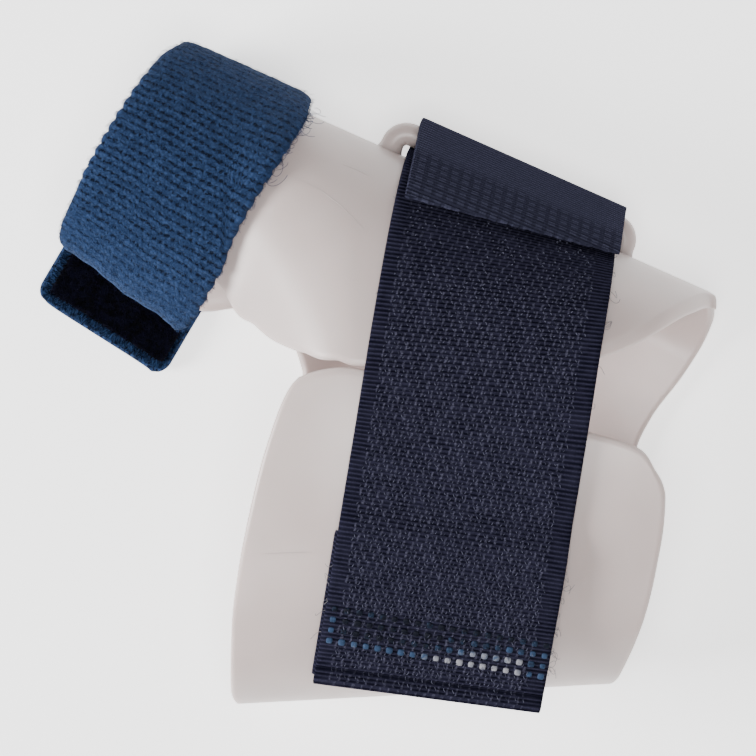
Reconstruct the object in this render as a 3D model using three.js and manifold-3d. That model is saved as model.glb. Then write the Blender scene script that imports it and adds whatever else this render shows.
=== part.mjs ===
// Thumb spica splint: one moulded polyethylene shell, wrapped round the hand with a gutter for the thumb, a
// hook-faced hand strap welded round the shell's own bar, and a knitted thumb strap with a hook patch on its tab.
// Millimetres, +Z up. The splint lies on its back with the slit up. X runs along the hand towards the wrist and
// Y from the little finger's side to the thumb's side. The origin is on the flat outer face of the back wall.
import * as THREE from 'three';
import Module from 'manifold-3d';
import { mergeVertices } from 'three/addons/utils/BufferGeometryUtils.js';

const degrees = THREE.MathUtils.degToRad;
const QUARTER = Math.PI / 2;

// Shell
const LENGTH = 100; // along the hand, from the thumb's rim to the wrist corner
const BREADTH = 100; // across the hand, from the fold to the crest over the web of the thumb
const DEPTH = 42; // from the back wall's outer face to the top of the panels
const WALL = 2;
const THUMB_ANGLE = degrees(23.9); // the crest's slope, which the thumb lies along
const FOLD_ANGLE = degrees(3.1); // the slope of the fold on the little finger's side
const CREST_LEVEL = 12.5; // height of the crest's outermost line over the hand
const FOLD_LEVEL = 13;
const UNDER_RADIUS = 12; // rounding from the crest and the fold into the back wall
const GUTTER_WIDTH = 19.5; // from the thumb's crest to the top of its gutter, level
const GUTTER_FAR_WIDTH = 26; // the same on the gutter's open side
const GUTTER_TOP = 29; // height of the gutter's outer face
const GUTTER_CREST_LEVEL = 16.5;
const LEFT_FALL = 4; // how far the lower panel falls towards the fingers

// Bar for the hand strap, moulded in one with the shell
const BAR_DIAMETER = 3.8;
const STRAP_ROOM = 0.7; // clear room at each side of the strap inside the bar

// Hand strap
const TAPE_WIDTH = 37;
const TAPE_THICKNESS = 1.3;
const TAPE_LENGTH = 79.5; // from the crest to the hem's end, level
const TAPE_START = 7.7; // the strap's middle at the crest, along the hand
const TAPE_LEAN = degrees(9.4); // the strap's run against straight across the hand
const TAPE_END_LEAN = degrees(7.8);
const TAPE_SETTLE = 9; // run over which the strap turns from the bar's slope to its own
const FLAP_REACH = 8.3; // level reach of the welded flap past the crest, at its longer edge
const FLAP_LEAN = degrees(16);
const HEM_LENGTH = 23; // the folded end under the strap
const HEM_RAMP = 7; // run over which the strap climbs onto its folded end
const TAPE_LIFT = degrees(25); // slope at which the stiff strap leaves the shell
const STEEP_RUN = 14; // level run of the steep part over the crest

// Thumb strap
const BAND_WIDTH = 24.6;
const BAND_THICKNESS = 2.75;
const BAND_FRONT = 38; // level reach of the front end from the crest
const BAND_FRONT_SKEW = 5.2; // how much further its wrist edge reaches
const BAND_BACK = 46.8;
const BAND_BACK_SKEW = 3.6;
const BAND_SHEAR = 0.115; // how far each run leans towards the fingers
const BAND_LIFT = degrees(25); // slope of the loose front end past the gutter
const TAB_LENGTH = 10.5;
const TAB_THICKNESS = 1.6;
const PATCH_THICKNESS = 0.9;
const PATCH_MARGIN = 1.5;

// Clearance between pieces that lie on each other
const GAP = 0.3;

// Places on the shell as shares of its length, breadth or section. A way is 0 at the crest, 1 at the top of the
// panels and 2 at the fold, or at the gutter's far side.
const CREST_SHARE = 0.432; // crest at the middle of the length
const FOLD_SHARE = -0.422;
const HAND_TOP_SHARE = 0.065; // the line along the top of the panels
const WEB_SHARE = -0.274; // the corner of the web between thumb and hand
const BLEND_FROM_SHARE = -0.39; // the gutter's section turns into the hand's between these
const BLEND_TO_SHARE = -0.17;
const LIFT_FROM_SHARE = -0.3; // the back wall comes down to rest between these
const LIFT_TO_SHARE = -0.16;
const THUMB_RIM_SHARE = -0.445; // the gutter's rim at the crest
const BAND_SHARE = -0.362; // the thumb strap's middle at the crest

const SLIT_EDGE = [
  { along: -0.62, way: 1.3 },
  { along: -0.51, way: 1.41 },
  { along: -0.42, way: 1.49 },
  { along: -0.37, way: 1.58 },
  { along: -0.33, way: 1.36 },
  { along: -0.274, way: 1.09 },
  { along: -0.23, way: 0.94 },
  { along: -0.19, way: 0.86 },
  { along: -0.1, way: 0.86 },
  { along: 0, way: 0.86 },
  { along: 0.07, way: 0.845 },
  { along: 0.15, way: 0.785 },
  { along: 0.21, way: 0.68 },
  { along: 0.25, way: 0.6 },
  { along: 0.3, way: 0.455 },
  { along: 0.37, way: 0.17 },
  { along: 0.41, way: 0.035 },
  { along: 0.45, way: 0.02 },
];
const LOWER_EDGE = [
  { along: -0.26, way: 0.925 },
  { along: -0.23, way: 0.9 },
  { along: -0.19, way: 0.885 },
  { along: -0.1, way: 0.915 },
  { along: -0.02, way: 0.975 },
  { along: 0.07, way: 1.03 },
  { along: 0.15, way: 1.08 },
  { along: 0.22, way: 1.125 },
  { along: 0.26, way: 1.15 },
  { along: 0.29, way: 1.18 },
  { along: 0.31, way: 1.23 },
];
const GUTTER_BACK_EDGE = [
  { along: -0.6, down: 0.405 },
  { along: -0.44, down: 0.405 },
  { along: -0.37, down: 0.373 },
  { along: -0.32, down: 0.362 },
  { along: -0.274, down: 0.39 },
  { along: 0.1, down: 0.39 },
];
const WRIST_RIM = [
  { across: -0.42, along: 0.249 },
  { across: -0.26, along: 0.262 },
  { across: -0.13, along: 0.279 },
  { across: -0.018, along: 0.297 },
  { across: 0.039, along: 0.324 },
  { across: 0.112, along: 0.379 },
  { across: 0.18, along: 0.42 },
  { across: 0.211, along: 0.433 },
  { across: 0.24, along: 0.433 },
];
const LOWER_WRIST_RIM = [
  { across: -0.403, along: 0.244 },
  { across: -0.393, along: 0.257 },
  { across: -0.375, along: 0.266 },
  { across: -0.284, along: 0.299 },
  { across: -0.208, along: 0.315 },
  { across: -0.122, along: 0.327 },
  { across: -0.09, along: 0.328 },
  { across: -0.069, along: 0.323 },
  { across: -0.05, along: 0.312 },
  { across: -0.035, along: 0.3 },
];
const LOWER_FINGER_RIM = [
  { across: -0.442, along: -0.352 },
  { across: -0.436, along: -0.366 },
  { across: -0.415, along: -0.375 },
  { across: -0.304, along: -0.371 },
  { across: -0.22, along: -0.3605 },
  { across: -0.061, along: -0.327 },
  { across: 0.01, along: -0.306 },
  { across: 0.066, along: -0.285 },
  { across: 0.093, along: -0.269 },
  { across: 0.106, along: -0.254 },
];
const BACK_FINGER_RIM = [
  { across: -0.442, along: -0.352 },
  { across: -0.26, along: -0.335 },
  { across: -0.1, along: -0.3 },
  { across: 0.03, along: -0.268 },
  { across: 0.106, along: -0.257 },
  { across: 0.1295, along: -0.262 },
  { across: 0.158, along: -0.274 },
];

/** Cubic curve through the rows of a table, flat wherever its values turn. Past the ends it keeps the end value. */
function curveThrough(rows, from, to) {
  const xs = rows.map((row) => row[from]);
  const ys = rows.map((row) => row[to]);
  const slopes = xs.slice(1).map((x, i) => (ys[i + 1] - ys[i]) / (x - xs[i]));
  const tangents = xs.map((_, i) => {
    if (i === 0 || i === xs.length - 1) {
      return slopes[Math.min(i, slopes.length - 1)];
    }
    const product = slopes[i - 1] * slopes[i];
    return product <= 0 ? 0 : (2 * product) / (slopes[i - 1] + slopes[i]);
  });
  return (x) => {
    if (x <= xs[0]) return ys[0];
    if (x >= xs[xs.length - 1]) return ys[ys.length - 1];
    const i = xs.findIndex((next) => next > x) - 1;
    const h = xs[i + 1] - xs[i];
    const t = (x - xs[i]) / h;
    const s = 1 - t;
    return (
      ys[i] * s * s * (1 + 2 * t) + ys[i + 1] * t * t * (1 + 2 * s) +
      h * t * s * (tangents[i] * s - tangents[i + 1] * t)
    );
  };
}

const mix = (a, b, t) => a + (b - a) * t;
const clamp = THREE.MathUtils.clamp;
const smooth = (x, from, to) => THREE.MathUtils.smoothstep(x, from, to);
const wayToAngle = (way) => Math.acos(clamp(1 - way, -1, 1));

/** A table's curve in millimetres, from one side of the plan to the other. */
function planCurve(rows) {
  const curve = curveThrough(rows, 'across', 'along');
  return (y) => curve(y / BREADTH) * LENGTH;
}

const slitWay = curveThrough(SLIT_EDGE, 'along', 'way');
const lowerWay = curveThrough(LOWER_EDGE, 'along', 'way');
const gutterBackDrop = curveThrough(GUTTER_BACK_EDGE, 'along', 'down');
const wristRim = planCurve(WRIST_RIM);
const lowerWristRim = planCurve(LOWER_WRIST_RIM);
const lowerFingerRim = planCurve(LOWER_FINGER_RIM);
const backFingerRim = planCurve(BACK_FINGER_RIM);

// Mid-surface of the shell, as a section at each place x along the hand
const wallOffset = WALL / 2;
const crestAt = (x) => CREST_SHARE * BREADTH - Math.tan(THUMB_ANGLE) * x;
const middleCrestAt = (x) => crestAt(x) - wallOffset / Math.cos(THUMB_ANGLE);
const foldAt = (x) => FOLD_SHARE * BREADTH + Math.tan(FOLD_ANGLE) * x + wallOffset;
const handBlend = (x) => smooth(x, BLEND_FROM_SHARE * LENGTH, BLEND_TO_SHARE * LENGTH);
const backLift = (x) =>
  (BAND_THICKNESS + 2 * GAP) * (1 - smooth(x, LIFT_FROM_SHARE * LENGTH, LIFT_TO_SHARE * LENGTH));
const backAt = (x) => wallOffset + backLift(x);
const crestLevelAt = (x) => mix(GUTTER_CREST_LEVEL, CREST_LEVEL, handBlend(x));

/** Section of the upper panel: the crest, the line of its top, and the far side that it turns down to. */
function upperSection(x) {
  const blend = handBlend(x);
  const crest = middleCrestAt(x);
  const top = mix(crest - GUTTER_WIDTH, HAND_TOP_SHARE * BREADTH, blend);
  return {
    crest,
    top,
    far: mix(top - GUTTER_FAR_WIDTH, foldAt(x), blend),
    level: mix(GUTTER_TOP, DEPTH, blend) - wallOffset,
    crestLevel: crestLevelAt(x),
    farLevel: mix(GUTTER_CREST_LEVEL, FOLD_LEVEL, blend),
  };
}

/** Section of the lower panel, which keeps the hand's shape and falls a little towards the fingers. */
function lowerSection(x) {
  const fall = clamp((BLEND_TO_SHARE * LENGTH - x) / (0.2 * LENGTH), 0, 1.2);
  return {
    crest: middleCrestAt(x),
    top: HAND_TOP_SHARE * BREADTH,
    far: foldAt(x),
    level: DEPTH - wallOffset - LEFT_FALL * fall * fall,
    crestLevel: crestLevelAt(x),
    farLevel: FOLD_LEVEL,
  };
}

/** Point of a section's upper half: quarter ellipses from the crest (angle 0) over the top to the far side. */
function upperPoint(section, angle, x) {
  const near = angle < QUARTER;
  const reach = near ? section.crest - section.top : section.top - section.far;
  const base = near ? section.crestLevel : section.farLevel;
  return new THREE.Vector3(
    x,
    section.top + reach * Math.cos(angle),
    base + (section.level - base) * Math.sin(angle),
  );
}

const panelPoint = (angle, x) => upperPoint(upperSection(x), angle, x);
const lowerPoint = (angle, x) => upperPoint(lowerSection(x), angle, x);

/** Quarter ellipse from the crest (angle 0) down to the back wall (angle QUARTER). */
function crestUnderPoint(angle, x) {
  const level = crestLevelAt(x);
  return new THREE.Vector3(
    x,
    middleCrestAt(x) - UNDER_RADIUS * (1 - Math.cos(angle)),
    level - (level - backAt(x)) * Math.sin(angle),
  );
}

/** Quarter ellipse from the fold (angle 0) up from the back wall (angle QUARTER). */
function foldUnderPoint(angle, x) {
  return new THREE.Vector3(
    x,
    foldAt(x) + UNDER_RADIUS * (1 - Math.cos(angle)),
    FOLD_LEVEL - (FOLD_LEVEL - backAt(x)) * Math.sin(angle),
  );
}

/** Straight back wall between two levels across, from share 0 to 1. */
function backPoint(fromAt, toAt, share, x) {
  return new THREE.Vector3(x, mix(fromAt(x), toAt(x), share), backAt(x));
}

const crestUnderEnd = (x) => middleCrestAt(x) - UNDER_RADIUS;
const gutterBackEdge = (x) => crestAt(x) - gutterBackDrop(x / LENGTH) * BREADTH;
const foldUnderEnd = (x) => foldAt(x) + UNDER_RADIUS;

/** Place along the hand where a row of the mesh meets an outline given as x for each y. */
function meetOutline(rowPoint, outline, low, high) {
  let from = low;
  let to = high;
  for (let step = 0; step < 40; step += 1) {
    const middle = (from + to) / 2;
    if (middle < outline(rowPoint(middle).y)) from = middle;
    else to = middle;
  }
  return (from + to) / 2;
}

/** Rim of the thumb's gutter: a plane square to the crest. */
function meetThumbRim(rowPoint) {
  const rimX = THUMB_RIM_SHARE * LENGTH;
  const slant = Math.sin(THUMB_ANGLE) * Math.cos(THUMB_ANGLE);
  let x = rimX;
  for (let step = 0; step < 12; step += 1) {
    x = rimX - slant * (crestAt(x) - rowPoint(x).y);
  }
  return x;
}

const shares = (count) => Array.from({ length: count + 1 }, (_, i) => i / count);

/** Rows of the shell, from the slit round the crest, the back and the fold to the lower panel's free edge. */
function shellRows() {
  const rows = [];
  const webX = WEB_SHARE * LENGTH;
  const add = (point, options) => rows.push({ point, ...options });
  for (const share of shares(9)) {
    add((x) => panelPoint(wayToAngle(slitWay(x / LENGTH)) * (1 - share), x), { gutter: true, rim: wristRim });
  }
  for (const share of shares(5).slice(1)) {
    add((x) => crestUnderPoint(share * QUARTER, x), { gutter: true, rim: wristRim });
  }
  for (const share of shares(3).slice(1)) {
    add((x) => backPoint(crestUnderEnd, gutterBackEdge, share, x), { gutter: true, rim: wristRim });
  }
  for (const share of shares(5).slice(1)) {
    add((x) => backPoint(gutterBackEdge, foldUnderEnd, share, x), { finger: backFingerRim, rim: wristRim });
  }
  for (const share of shares(4).slice(1)) {
    add((x) => foldUnderPoint((1 - share) * QUARTER, x), { finger: backFingerRim, rim: wristRim });
  }
  for (const share of shares(14).slice(1)) {
    const point = (x) => {
      const end = wayToAngle(lowerWay(x / LENGTH));
      return lowerPoint(mix(Math.PI, end, share), x);
    };
    add(point, { finger: lowerFingerRim, rim: lowerWristRim });
  }
  for (const row of rows) {
    row.start = row.gutter ? webX : meetOutline(row.point, row.finger, -0.45 * LENGTH, 0);
    row.end = meetOutline(row.point, row.rim, 0, 0.5 * LENGTH);
    row.thumb = row.gutter ? meetThumbRim(row.point) : webX;
  }
  return rows;
}

/** Solid wall of even thickness on both sides of a mid-surface made of quads. */
function thicken(points, quads, thickness) {
  const normals = points.map(() => new THREE.Vector3());
  for (const quad of quads) {
    const [a, b, c, d] = quad.map((i) => points[i]);
    const normal = new THREE.Vector3().crossVectors(
      new THREE.Vector3().subVectors(c, a),
      new THREE.Vector3().subVectors(d, b),
    );
    quad.forEach((i) => normals[i].add(normal));
  }
  const half = (i) => (Array.isArray(thickness) ? thickness[i] : thickness) / 2;
  normals.forEach((normal) => normal.normalize());
  const outer = points.map((point, i) => point.clone().addScaledVector(normals[i], half(i)));
  const inner = points.map((point, i) => point.clone().addScaledVector(normals[i], -half(i)));
  const faces = [];
  const count = points.length;
  const edges = new Map();
  for (const [a, b, c, d] of quads) {
    faces.push(a, b, c, a, c, d);
    faces.push(a + count, c + count, b + count, a + count, d + count, c + count);
    for (const [from, to] of [[a, b], [b, c], [c, d], [d, a]]) {
      const reverse = `${to},${from}`;
      if (edges.has(reverse)) edges.delete(reverse);
      else edges.set(`${from},${to}`, [from, to]);
    }
  }
  for (const [from, to] of edges.values()) {
    faces.push(to, from, from + count, to, from + count, to + count);
  }
  return closedGeometry([...outer, ...inner], faces);
}

function closedGeometry(points, faces) {
  const geometry = new THREE.BufferGeometry();
  geometry.setFromPoints(points);
  geometry.setIndex(faces);
  return geometry;
}

/** Quads of a grid of rows and columns, whose points are numbered by a function. */
function gridQuads(rowCount, columnCount, index) {
  const quads = [];
  for (let row = 0; row < rowCount - 1; row += 1) {
    for (let column = 0; column < columnCount - 1; column += 1) {
      quads.push([
        index(row, column),
        index(row, column + 1),
        index(row + 1, column + 1),
        index(row + 1, column),
      ]);
    }
  }
  return quads;
}

function shellGeometry() {
  const handColumns = 22;
  const thumbColumns = 7;
  const rows = shellRows();
  const gutterRows = rows.filter((row) => row.gutter).length;
  const points = [];
  rows.forEach((row) => {
    shares(handColumns).forEach((share) => points.push(row.point(mix(row.start, row.end, share))));
  });
  const thumbStart = points.length;
  rows.slice(0, gutterRows).forEach((row) => {
    shares(thumbColumns).slice(0, -1).forEach((share) => {
      points.push(row.point(mix(row.thumb, row.start, share)));
    });
  });
  const handIndex = (row, column) => row * (handColumns + 1) + column;
  const thumbIndex = (row, column) =>
    column === thumbColumns ? handIndex(row, 0) : thumbStart + row * thumbColumns + column;
  const quads = [
    ...gridQuads(rows.length, handColumns + 1, handIndex),
    ...gridQuads(gutterRows, thumbColumns + 1, thumbIndex),
  ];
  return thicken(points, quads, WALL);
}

// Crest frame: a point at place q along the crest and p square to it in plan, positive over the panels
const crestDirection = new THREE.Vector3(Math.cos(THUMB_ANGLE), -Math.sin(THUMB_ANGLE), 0);
const crestSquare = new THREE.Vector3(-Math.sin(THUMB_ANGLE), -Math.cos(THUMB_ANGLE), 0);
function crestFrame(q, p, z) {
  const point = new THREE.Vector3(0, crestAt(0), z);
  return point.addScaledVector(crestDirection, q).addScaledVector(crestSquare, p);
}
const alongCrest = (x) => x / Math.cos(THUMB_ANGLE);

// Bar
const barRadius = BAR_DIAMETER / 2;
const barStandOff = GAP + TAPE_THICKNESS + GAP + barRadius;
const barSpan = TAPE_WIDTH + BAR_DIAMETER + 2 * STRAP_ROOM;

function barGeometry() {
  const middle = alongCrest(TAPE_START);
  const level = CREST_LEVEL;
  const bend = barRadius * 1.15;
  const corners = [
    crestFrame(middle - barSpan / 2, wallOffset, level),
    crestFrame(middle - barSpan / 2, bend - barStandOff, level),
    crestFrame(middle - barSpan / 2 + bend, -barStandOff, level),
    crestFrame(middle + barSpan / 2 - bend, -barStandOff, level),
    crestFrame(middle + barSpan / 2, bend - barStandOff, level),
    crestFrame(middle + barSpan / 2, wallOffset, level),
  ];
  const path = new THREE.CurvePath();
  path.add(new THREE.LineCurve3(corners[0], corners[1]));
  path.add(new THREE.QuadraticBezierCurve3(
    corners[1], crestFrame(middle - barSpan / 2, -barStandOff, level), corners[2],
  ));
  path.add(new THREE.LineCurve3(corners[2], corners[3]));
  path.add(new THREE.QuadraticBezierCurve3(
    corners[3], crestFrame(middle + barSpan / 2, -barStandOff, level), corners[4],
  ));
  path.add(new THREE.LineCurve3(corners[4], corners[5]));
  const round = new THREE.Shape();
  round.absarc(0, 0, barRadius, 0, 2 * Math.PI, false);
  return new THREE.ExtrudeGeometry(round, { steps: 72, curveSegments: 12, extrudePath: path });
}

/** Unit normal, out of the shell, of a surface given by an angle from the crest and a place x. */
function outwardNormal(surface, angle, x) {
  const step = 0.01;
  const round = surface(angle + step, x).sub(surface(angle - step, x));
  const along = surface(angle, x + step).sub(surface(angle, x - step));
  return round.cross(along).normalize();
}

/** Point at a height over the middle of the wall, above plan point x, y. Past the slope lift it goes on straight. */
function overShell(sectionAt, x, y, height, lift) {
  const section = sectionAt(x);
  const near = section.crest - section.top;
  const far = section.top - section.far;
  const drop = Math.max(section.crest - y, 0);
  const surface = (angle, place) => upperPoint(sectionAt(place), angle, place);
  const leaves = QUARTER + Math.atan2(far * Math.tan(lift), section.level - section.farLevel);
  const angle = drop < near
    ? Math.acos(1 - drop / near)
    : Math.min(leaves, QUARTER + Math.asin(Math.min((drop - near) / far, 1)));
  const foot = surface(angle, x);
  const point = foot.clone().addScaledVector(outwardNormal(surface, angle, x), height);
  const past = Math.max(foot.y - y, 0);
  if (angle >= leaves) {
    point.y -= past;
    point.z -= past * Math.tan(lift);
  }
  return point;
}

/** Point at a height under the middle of the wall, below plan point x, y. */
function underShell(x, y, height) {
  const drop = Math.max(middleCrestAt(x) - y, 0);
  if (drop >= UNDER_RADIUS) {
    return new THREE.Vector3(x, y, backAt(x) - height);
  }
  const angle = Math.acos(1 - drop / UNDER_RADIUS);
  const normal = outwardNormal(crestUnderPoint, angle, x).negate();
  return crestUnderPoint(angle, x).addScaledVector(normal, height);
}

// Hand strap
const tapeBase = wallOffset + GAP + TAPE_THICKNESS / 2;
const tapeStep = TAPE_THICKNESS + GAP;

/** Point of the strap's middle layer at share across (-0.5 to 0.5), at a run s from the crest. */
function tapePoint(across, s, height) {
  const lean =
    TAPE_LEAN +
    (THUMB_ANGLE - TAPE_LEAN) * Math.exp(-s / TAPE_SETTLE) -
    (TAPE_LEAN - TAPE_END_LEAN) * (s / TAPE_LENGTH) ** 2;
  const x = TAPE_START - s * Math.sin(TAPE_LEAN) + across * TAPE_WIDTH * Math.cos(lean);
  const y = middleCrestAt(TAPE_START) - s * Math.cos(TAPE_LEAN) - across * TAPE_WIDTH * Math.sin(lean);
  return overShell(lowerSection, x, y, height, TAPE_LIFT);
}

/** Flap over the bar and turn round it for one line of the strap, from the flap's end to the crest. */
function flapLine(across) {
  const flapRows = 10;
  const turnRows = 12;
  const radius = barRadius + GAP + TAPE_THICKNESS / 2;
  const centre = new THREE.Vector2(-barStandOff, CREST_LEVEL);
  const start = tapePoint(across, 0, tapeBase);
  const reach = Math.max(
    FLAP_REACH - (across + 0.5) * TAPE_WIDTH * Math.sin(THUMB_ANGLE - FLAP_LEAN), GAP,
  );
  const square = (point) =>
    new THREE.Vector2(point.clone().sub(crestFrame(0, 0, 0)).dot(crestSquare), point.z);
  const place = (point) => point.clone().sub(crestFrame(0, 0, 0)).dot(crestDirection);
  const lying = shares(flapRows).map((share) => {
    const s = reach * share * share;
    const x = start.x - s * Math.sin(TAPE_LEAN);
    const y = middleCrestAt(start.x) - s * Math.cos(TAPE_LEAN);
    return overShell(lowerSection, x, y, tapeBase + tapeStep, TAPE_LIFT);
  });
  const slopes = lying.map((point) => {
    const away = square(point).sub(centre);
    return away.length() > radius ? away.angle() - Math.asin(radius / away.length()) : -1;
  });
  const touch = slopes.indexOf(Math.max(...slopes));
  const leave = slopes[touch] + QUARTER;
  const onBar = (angle, q) =>
    crestFrame(q, centre.x + radius * Math.cos(angle), centre.y + radius * Math.sin(angle));
  const exit = onBar(leave, place(start));
  const flap = lying.map((point, i) =>
    i < touch ? exit.clone().lerp(lying[touch], i / touch) : point);
  const turn = shares(turnRows).slice(1, -1).map((share) =>
    onBar(mix(leave, 2 * Math.PI, share), place(start)));
  return [...flap.reverse(), ...turn];
}

/** Main run, folded end and hem for one line of the strap, from the crest down. */
function runLine(across) {
  const hemStart = TAPE_LENGTH - HEM_LENGTH;
  const climb = (s) => tapeStep * smooth(s, hemStart - HEM_RAMP, hemStart - GAP);
  const steep = shares(11).map((share) => STEEP_RUN * share * share);
  const level = shares(24).slice(1).map((share) => mix(STEEP_RUN, TAPE_LENGTH, share));
  const run = [...steep, ...level].map((s) => tapePoint(across, s, tapeBase + climb(s)));
  const fold = shares(5).slice(1, -1).map((share) => {
    const turn = share * Math.PI;
    const s = TAPE_LENGTH + (tapeStep / 2) * Math.sin(turn);
    return tapePoint(across, s, tapeBase + (tapeStep / 2) * (1 + Math.cos(turn)));
  });
  const hem = shares(7).map((share) => tapePoint(across, TAPE_LENGTH - share * HEM_LENGTH, tapeBase));
  return [...run, ...fold, ...hem];
}

function handStrapGeometry() {
  const lines = shares(6).map((share) => [...flapLine(share - 0.5), ...runLine(share - 0.5)]);
  const rowCount = lines[0].length;
  const quads = gridQuads(lines.length, rowCount, (line, row) => line * rowCount + row);
  return thicken(lines.flat(), quads, TAPE_THICKNESS);
}

// Thumb strap
const bandHeight = wallOffset + GAP + BAND_THICKNESS / 2;

/** Plan place of the thumb strap at share across (-0.5 to 0.5) and p square to the crest. */
function bandPlan(across, p) {
  const width = BAND_WIDTH / Math.cos(Math.atan(BAND_SHEAR));
  return crestFrame(alongCrest(BAND_SHARE * LENGTH) + across * width - BAND_SHEAR * p, p + wallOffset, 0);
}

function bandFrontPoint(across, p) {
  const plan = bandPlan(across, p);
  return overShell(upperSection, plan.x, plan.y, bandHeight, BAND_LIFT);
}

function bandBackPoint(across, p) {
  const plan = bandPlan(across, p);
  return underShell(plan.x, plan.y, bandHeight);
}

const bandFrontReach = (across) => BAND_FRONT + across * BAND_FRONT_SKEW;
const bandBackReach = (across) => BAND_BACK + across * BAND_BACK_SKEW;

function thumbStrapGeometry() {
  const frontRows = 22;
  const backRows = 18;
  const tabRows = 5;
  const lines = shares(5).map((share) => {
    const across = share - 0.5;
    const front = shares(frontRows).reverse()
      .map((row) => bandFrontPoint(across, bandFrontReach(across) * row ** 1.8));
    const backEnd = bandBackReach(across) - TAB_LENGTH;
    const back = shares(backRows).slice(1).map((row) => bandBackPoint(across, backEnd * row ** 1.6));
    const tab = shares(tabRows).slice(1).map((row) => bandBackPoint(across, backEnd + TAB_LENGTH * row));
    return [...front, ...back, ...tab];
  });
  const rowCount = lines[0].length;
  const knitRows = rowCount - tabRows;
  const thickness = lines.flatMap((line) =>
    line.map((_, row) => (row < knitRows ? BAND_THICKNESS : TAB_THICKNESS)));
  const quads = gridQuads(lines.length, rowCount, (line, row) => line * rowCount + row);
  return thicken(lines.flat(), quads, thickness);
}

function hookPatchGeometry() {
  const side = 0.5 - PATCH_MARGIN / BAND_WIDTH;
  const lift = (TAB_THICKNESS + PATCH_THICKNESS) / 2 + GAP;
  const lines = shares(3).map((share) => {
    const across = mix(-side, side, share);
    const end = bandBackReach(across) - PATCH_MARGIN;
    const start = bandBackReach(across) - TAB_LENGTH + PATCH_MARGIN;
    return shares(4).map((row) => {
      const point = bandBackPoint(across, mix(start, end, row));
      point.z += lift;
      return point;
    });
  });
  const rowCount = lines[0].length;
  const quads = gridQuads(lines.length, rowCount, (line, row) => line * rowCount + row);
  return thicken(lines.flat(), quads, PATCH_THICKNESS);
}

/** Joins closed geometries into one body. */
async function joined(geometries) {
  const wasm = await Module();
  wasm.setup();
  const solids = geometries.map((geometry) => {
    const bare = geometry.clone();
    bare.deleteAttribute('normal');
    bare.deleteAttribute('uv');
    const merged = mergeVertices(bare, 1e-4);
    return new wasm.Manifold(new wasm.Mesh({
      numProp: 3,
      vertProperties: Float32Array.from(merged.attributes.position.array),
      triVerts: Uint32Array.from(merged.index.array),
    }));
  });
  const whole = solids.reduce((sum, solid) => sum.add(solid)).getMesh();
  const geometry = new THREE.BufferGeometry();
  geometry.setAttribute('position', new THREE.BufferAttribute(whole.vertProperties, 3));
  geometry.setIndex(new THREE.BufferAttribute(whole.triVerts, 1));
  return geometry;
}

const finishes = {
  polyethylene: { color: 0xcdc4c1, roughness: 0.38, metalness: 0 },
  hookTape: { color: 0x1c2230, roughness: 0.75, metalness: 0 },
  knit: { color: 0x1d3f6b, roughness: 0.95, metalness: 0 },
  hookPatch: { color: 0x0a0d16, roughness: 0.9, metalness: 0 },
};

function piece(name, geometry, finish) {
  const mesh = new THREE.Mesh(geometry, new THREE.MeshStandardMaterial(finish));
  mesh.name = name;
  return mesh;
}

const splint = new THREE.Group();
splint.add(
  piece('shell', await joined([shellGeometry(), barGeometry()]), finishes.polyethylene),
  piece('hand_strap', handStrapGeometry(), finishes.hookTape),
  piece('thumb_strap', thumbStrapGeometry(), finishes.knit),
  piece('thumb_hook_patch', hookPatchGeometry(), finishes.hookPatch),
);

export default splint;
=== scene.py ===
"""Looks of a thumb spica splint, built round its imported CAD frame.

The splint lies on its back with the slit up. A milky moulded shell wraps the hand and runs out along the
thumb as a gutter. A navy hook tape goes round the shell's own bar and over both panels, and a blue knitted
band goes round the gutter and ends in a tab with a black hook patch.

Lengths in this file are millimetres unless a name says otherwise. Meshes are written in metres.
"""

from __future__ import annotations

import logging
import math
from dataclasses import dataclass
from enum import Enum
from functools import partial
from typing import Callable, Iterable

import bpy
import numpy as np
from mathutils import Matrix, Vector


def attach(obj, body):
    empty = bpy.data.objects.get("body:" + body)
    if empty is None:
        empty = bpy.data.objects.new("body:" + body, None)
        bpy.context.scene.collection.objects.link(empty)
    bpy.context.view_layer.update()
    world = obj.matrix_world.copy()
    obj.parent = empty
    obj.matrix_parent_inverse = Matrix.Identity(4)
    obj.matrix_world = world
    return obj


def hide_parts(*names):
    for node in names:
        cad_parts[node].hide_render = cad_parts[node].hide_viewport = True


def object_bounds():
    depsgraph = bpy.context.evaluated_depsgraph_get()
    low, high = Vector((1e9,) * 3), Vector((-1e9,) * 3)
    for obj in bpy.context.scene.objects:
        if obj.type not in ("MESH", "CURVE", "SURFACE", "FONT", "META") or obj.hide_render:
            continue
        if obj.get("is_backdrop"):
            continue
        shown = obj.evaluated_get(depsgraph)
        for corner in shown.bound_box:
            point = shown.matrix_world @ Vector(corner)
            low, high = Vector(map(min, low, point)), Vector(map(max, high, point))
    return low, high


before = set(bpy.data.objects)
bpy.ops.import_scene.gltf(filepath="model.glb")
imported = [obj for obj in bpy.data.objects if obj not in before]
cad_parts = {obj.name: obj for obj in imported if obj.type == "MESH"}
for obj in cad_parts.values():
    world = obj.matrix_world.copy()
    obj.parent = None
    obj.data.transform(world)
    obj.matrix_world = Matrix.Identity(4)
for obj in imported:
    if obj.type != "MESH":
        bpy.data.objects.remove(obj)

LOG = logging.getLogger("thumb_spica")
MM = 0.001
TURN = 2 * math.pi
BODY = "root"
QUARTER = math.pi / 2
SEED = 7

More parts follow.
